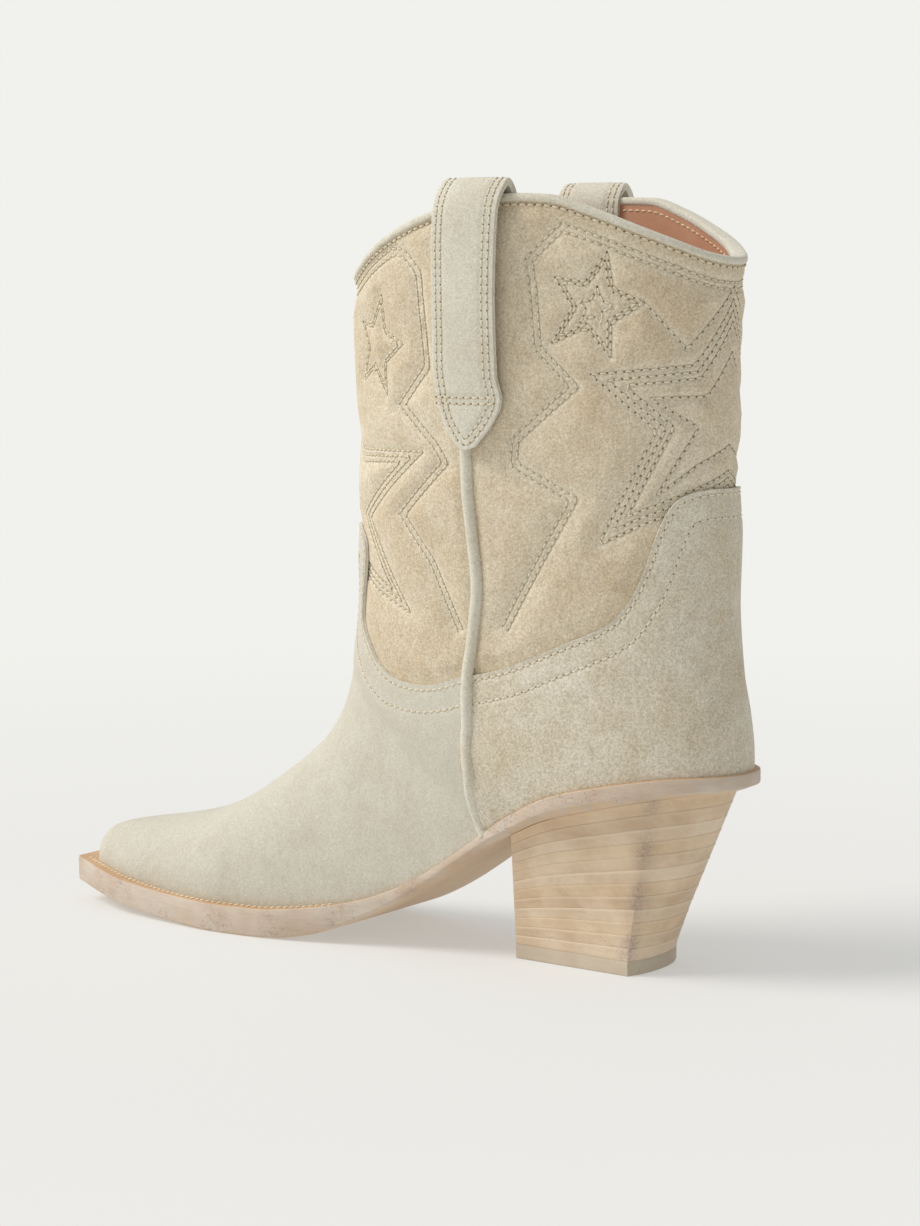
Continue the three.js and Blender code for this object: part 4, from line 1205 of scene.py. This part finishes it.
def strap_sheet(name, side, lift, thickness, inset):
    run = np.concatenate([np.linspace(0, 4, 9)[:-1], np.linspace(4, STRAP_LENGTH, 190)])
    left, right = (np.interp(run, *np.array(edge).T) for edge in (STRAP_LEFT, STRAP_RIGHT))
    share = np.linspace(0, 1, 29)
    across = lerp(left[:, None] + inset, right[:, None] - inset, share)
    points = np.stack([across, np.broadcast_to(run[:, None], across.shape)], -1)
    edge_gap = np.minimum(across - left[:, None], right[:, None] - across)
    places, out = on_strap(side, lift)(points)
    places = places - out * (0.35 * np.exp(-edge_gap / 0.6))[..., None]
    rows = strap_rows()
    places = places - out * (0.35 * near_line(distance(points, rows), 0.8))[..., None]
    if side > 0:
        places, edge_gap = places[:, ::-1], edge_gap[:, ::-1]
    strap = sheet(name, places)
    mark(strap, "press", near_line(edge_gap, 0.9))
    thicken(strap, thickness)
    return strap


def strap_rows():
    outline = strap_outline()
    rows = [beside(outline, 1.8), beside(outline, 3.8)]
    rows = [np.minimum(row, [np.inf, STRAP_LENGTH]) for row in rows]
    return rows + [np.array([(-41.5, z), (-19.5, z)], float) for z in (15.4, 17.4)]


def make_straps():
    for name, side in (("inner", -1), ("outer", 1)):
        strap = strap_sheet(f"pull_strap_{name}_suede", side, LINING + STRAP_LEATHER, STRAP_LEATHER, 0)
        finished(strap, trim_suede, "trim_suede", [f"pull_strap_{name}"])
        lining = strap_sheet(f"pull_strap_lining_{name}_leather", side, LINING, LINING, 0.15)
        finished(lining, trim_suede, "trim_suede", [f"pull_strap_lining_{name}"])
        face = on_strap(side, LINING + STRAP_LEATHER - 0.25)
        sew(f"pull_strap_{name}", strap_rows(), face, "trim_suede")


# ---- Welt and sole -------------------------------------------------------------------------------
def sole_outline(reach, ahead, width):
    """Stations of the sole's edge from the toe to the back: x and y on the inner and outer side."""
    s = np.linspace(5.5, CORNER - 0.05, 110)
    front = front_point(s, -1.0)
    turn = np.linspace(0.03, 1, 60)
    back_arc = -(HALF_ARC - (1 - turn) * (HALF_ARC - FRONT_ARC))
    foot = foot_of_back(back_arc)
    back = shaft_at(back_arc, foot)
    edge = np.vstack([front, back])[:, :2]
    middle = np.concatenate([middle_y(s), np.full(len(turn), MID_Y)])
    way = unit(np.gradient(edge, axis=0))
    way[-1] = (0, 1)
    edge_x_out = edge + reach(edge[:, 0])[:, None] * np.column_stack([way[:, 1], -way[:, 0]])
    half = np.maximum(middle - edge_x_out[:, 1], 0)
    half[-1] = 0
    toe_x, toe_y = front_point(0.0, 0.0)[0] - ahead, middle_y(0.0)
    corner = np.array([(toe_x, -2.4), (toe_x + 0.25, -1.1), (toe_x + 1.1, 0.1)]) + [0, width / 2]
    t = np.linspace(0, 1, 12)[1:-1, None]
    ramp = lerp(corner[-1], np.array([edge_x_out[0, 0], half[0]]), t)
    x = np.concatenate([corner[:, 0], ramp[:, 0], edge_x_out[:, 0]])
    half = np.concatenate([corner[:, 1], ramp[:, 1], half])
    middle = np.concatenate([np.full(len(corner) + len(ramp), toe_y), middle])
    return x, middle - half, middle + half


TOE_X = -218.0


def edge_reach(inset):
    """An outline drawn in from the sole's edge, by a number or by a curve over x."""
    at = inset if callable(inset) else (lambda x: inset)
    return sole_outline(
        lambda x: LAP_OUT + welt_margin(x) - at(x),
        LAP_OUT + TOE_MARGIN - at(TOE_X),
        SNIP_WIDTH - 1.3 * at(TOE_X),
    )


def all_round(outline):
    """Stations of an outline as one closed line, with their x for the heights."""
    x, near, far = outline
    return np.vstack([np.column_stack([x, near]), np.column_stack([x, far])[-2::-1]])


def make_welt():
    profile = [(0.0, -1.0), (0.0, -0.15), (0.12, -0.04), (0.4, 0.0), (8.0, 0.0), (8.0, -1.0)]
    lines = []
    for inset, level in profile:
        line = all_round(edge_reach(inset))
        z = seat_z(line[:, 0]) + level * welt_thickness(line[:, 0])
        lines.append(np.column_stack([line, z]))
    welt = tube("welt_leather", np.stack(lines, 1), loop=True)
    finished(welt, sole_edge, "sole_leather", ["welt"], smooth=50)
    welt.data.materials.append(welt_top)
    for face in welt.data.polygons:
        face.material_index = int(face.normal.z > 0.75)


def make_outsole():
    chamfer = lambda x: lerp(0.25, 3.4, smooth_step(-105, -45, x))
    mid_height = lambda x: lerp(0.12, 0.72, smooth_step(-105, -45, x))
    levels = [(lambda x: chamfer(x) + 0.7, lambda x: 0 * x), (chamfer, lambda x: 0.07 + 0 * x),
              (lambda x: 0.1 + 0 * x, mid_height), (lambda x: 0 * x, lambda x: 1 + 0 * x)]
    sides = []
    for inset, share in levels:
        x, near, far = edge_reach(inset)
        low, high = sole_bottom_z(x), seat_z(x) - welt_thickness(x)
        z = lerp(low, high, share(x))
        sides.append((np.column_stack([x, near, z]), np.column_stack([x, far, z])))
    low_near, low_far = sides[0]
    bottom = [lerp(low_near, low_far, t) for t in np.linspace(0, 1, 9)]
    top_near, top_far = sides[-1]
    top = [lerp(top_far, top_near, t) for t in np.linspace(0, 1, 9)]
    around = bottom + [far for _, far in sides[1:-1]] + top + [near for near, _ in sides[-2:0:-1]]
    outsole = tube("outsole_leather", np.stack(around, 1))
    finished(outsole, sole_edge, "sole_leather", ["outsole"], smooth=35)
    outsole.data.materials.append(sole_leather)
    columns = len(around)
    upper = range(len(bottom) + 2, len(bottom) + 2 + len(top))  # the top face, which the welt covers
    for face in outsole.data.polygons:
        face.material_index = int(not any(v % columns in upper for v in face.vertices))


def on_welt(points):
    x = points[..., 0]
    slope = seat_z(x + 0.5) - seat_z(x - 0.5)
    out = np.stack([-slope, 0 * x, 1 + 0 * x], -1)
    return np.stack([x, points[..., 1], seat_z(x)], -1), unit(out)


WELT_ROW = 1.55  # from the upper out to the row
WELT_ROW_START, WELT_ROW_END = -214, -92
WELT_STITCH = 2.5
WELT_SLANT = 0.5  # how far each stitch turns across the row


def make_welt_stitches():
    x, near, far = edge_reach(lambda x: welt_margin(x) - WELT_ROW)
    middles, ways, outs = [], [], []
    for line in (np.column_stack([x, near]), np.column_stack([x, far])):
        line = line[(line[:, 0] > WELT_ROW_START) & (line[:, 0] < WELT_ROW_END)]
        stops = walk(line, WELT_STITCH)
        way = unit(np.gradient(stops, axis=0))
        place, out = on_welt(stops)
        turned = way + WELT_SLANT * np.column_stack([-way[:, 1], way[:, 0]])
        middles.append(place)
        outs.append(out)
        ways.append(np.column_stack([turned, np.zeros(len(turned))]))
    points, faces = stitch_shape(WELT_STITCH)
    shape = points * [1, 1.7, 1.5], faces
    scattered("welt_stitches", shape, *map(np.vstack, (middles, ways, outs)), welt_thread, "trim_suede")


# ---- Heel ----------------------------------------------------------------------------------------
HEEL_STEPS = 8  # mesh points from one point of the outline to the next


def heel_outline(t, inset=0.0):
    """The heel's outline at a share of its height: square-cornered at the tip, rounder at the seat."""
    sides = len(HEEL_BASE) - 1
    u = np.linspace(0, sides, HEEL_STEPS * sides + 1)
    base, top = np.array(HEEL_BASE, float), np.array(HEEL_TOP, float)
    base = np.column_stack([np.interp(u, np.arange(sides + 1), base[:, k]) for k in (0, 1)])
    top = np.column_stack([by_row(top, k)(u) for k in (0, 1)])
    half = lerp(base, top, t)
    whole = np.vstack([half, (half * [1, -1])[-2::-1]])
    way = unit(np.gradient(whole, axis=0))
    whole = whole + inset * np.column_stack([way[:, 1], -way[:, 0]])
    return whole + [0, MID_Y * t]


def heel_ring(t, inset=0.0, flat=None):
    """The outline at a share of the heel's height over the tip, or at one height."""
    line = heel_outline(t, inset)
    if flat is not None:
        return np.column_stack([line, np.full(len(line), flat)])
    return np.column_stack([line, lerp(TIP_THICKNESS, sole_bottom_z(line[:, 0]) - 0.1, t)])


# The rear corner at the tip and at the seat: x and half width.
TIP_CORNER, SEAT_CORNER = np.array([18.0, 16.3]), np.array([30.0, 21.5])
# One layer of the heel: shares of its height, and how far each is drawn in.
LIFT_PROFILE = [(0.0, 0.12), (0.06, 0.03), (0.3, 0.0), (0.72, 0.02), (0.86, -0.12), (0.95, -0.1), (1.0, 0.06)]


def make_heel():
    tip = tube("top_piece_rubber", np.stack([
        heel_ring(0, 0.35, 0.0), heel_ring(0, 0.02, 0.35), heel_ring(0, 0, 4.6), heel_ring(0, 0.15, 4.95),
    ]))
    finished(tip, tip_rubber, "tip_rubber", ["top_piece"], smooth=30)
    for k in range(LIFT_COUNT):
        low, step = k / LIFT_COUNT, 1 / LIFT_COUNT
        rings = np.stack([heel_ring(low + share * step, inset) for share, inset in LIFT_PROFILE])
        lift = tube(f"heel_lift_{k + 1:02d}_leather", rings)
        places = np.array([v.co[:] for v in lift.data.vertices]) / MM
        height = sole_bottom_z(places[:, 0]) - TIP_THICKNESS
        share = np.clip((places[:, 2] - TIP_THICKNESS) / height, 0, 1)
        # Painted highlight: a pale line near the top of each lift, where its ridge would catch the light.
        ridge = smooth_step(0.72, 0.88, share * LIFT_COUNT - k)
        mark(lift, "ridge", ridge * (0.7 + 0.3 * math.sin(k * 2.3)))
        corner = lerp(TIP_CORNER, SEAT_CORNER, share[:, None])
        gap = np.minimum(*(np.linalg.norm(places[:, :2] - corner * [1, s], axis=1) for s in (-1, 1)))
        mark(lift, "wear", 0.75 * np.exp(-((gap / 3.2) ** 2)) * (0.6 + 0.4 * np.sin(share * 9 + k)))
        finished(lift, heel_leather[k % 3], "heel_leather", [f"heel_lift_{k + 1:02d}"], smooth=40)


make_shaft_front()
make_shaft_back()
make_vamp()
make_counter()
make_piping()
make_binding()
make_lining()
make_straps()
make_welt()
make_outsole()
make_welt_stitches()
make_heel()


# ---- Hidden and inner pieces, as the frame has them ----------------------------------------------
INNER = {
    "shaft_pad": padding, "vamp_interlining": padding,
    "vamp_lining": lining_leather, "heel_lining": lining_leather,
    "sock_liner": lining_leather, "heel_sock_pad": lining_leather, "toe_puff": board, "heel_stiffener": board,
    "insole_board": board, "heel_seat_filler": board, "forepart_filler": cork, "shank": steel,
    "heel_screw": steel, "seat_nail": steel,
}
for node_name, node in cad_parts.items():
    finish = next((f for start, f in INNER.items() if node_name.startswith(start)), None)
    if finish:
        node.data.materials.clear()
        node.data.materials.append(finish)
        pick(node)
        bpy.ops.object.shade_smooth_by_angle(angle=math.radians(35))


# ---- Floor, light and camera ---------------------------------------------------------------------
BACKDROP = rgb(241, 241, 237)


def make_floor():
    pick()
    bpy.ops.mesh.primitive_circle_add(vertices=96, radius=30, fill_type="NGON", location=(-0.05, 0, 0))
    floor = bpy.context.active_object
    floor.name = "floor"
    paper = bpy.data.materials.new("Pale floor")
    paper.use_nodes = True
    net = Net(paper.node_tree)
    net.tree.nodes.clear()
    place = net.add("ShaderNodeTexCoord").outputs["Object"]
    far = net.add("ShaderNodeVectorMath", {"operation": "LENGTH"}, i0=place).outputs["Value"]
    matt = net.add("ShaderNodeBsdfDiffuse", None, Color=(0.8, 0.795, 0.785, 1))
    glow = net.add("ShaderNodeEmission", None, Color=BACKDROP, Strength=1.0)
    net.blend("ShaderNodeOutputMaterial", net.ramp(far, 0.25, 0.9, 0.4, 1.0), matt, glow)
    floor.data.materials.append(paper)


def make_light():
    world = bpy.data.worlds.new("Studio")
    bpy.context.scene.world = world
    world.use_nodes = True
    net = Net(world.node_tree)
    net.tree.nodes.clear()
    seen = net.add("ShaderNodeBackground", None, Color=BACKDROP, Strength=1.0)
    toward = net.add("ShaderNodeTexCoord").outputs["Generated"]
    to_right = net.add("ShaderNodeSeparateXYZ", None, Vector=toward).outputs["X"]
    strength = net.ramp(to_right, -1, 1, 0.8, 0.34)  # stronger from the toe's side
    given = net.add("ShaderNodeBackground", None, Color=(0.98, 0.99, 1.0, 1), Strength=strength)
    ray = net.add("ShaderNodeLightPath").outputs["Is Camera Ray"]
    net.blend("ShaderNodeOutputWorld", ray, given, seen)
    pick()
    turn = (math.radians(44), 0, math.radians(-56))
    bpy.ops.object.light_add(type="SUN", location=(-1, -1, 2), rotation=turn)
    sun = bpy.context.active_object
    sun.data.energy = 1.95
    sun.data.angle = math.radians(30)
    sun.data.color = (1.0, 0.97, 0.92)


def make_camera():
    azimuth, pitch = math.radians(33), math.radians(6.1)
    pick()
    bpy.ops.object.camera_add(location=(0.5358, -0.9142, 0.2310), rotation=(math.pi / 2 - pitch, 0, azimuth))
    camera = bpy.context.active_object
    camera.data.lens = 93.96
    camera.data.sensor_width = 36
    bpy.context.scene.camera = camera


make_floor()
make_light()
make_camera()
bpy.context.scene.view_settings.view_transform = "Standard"
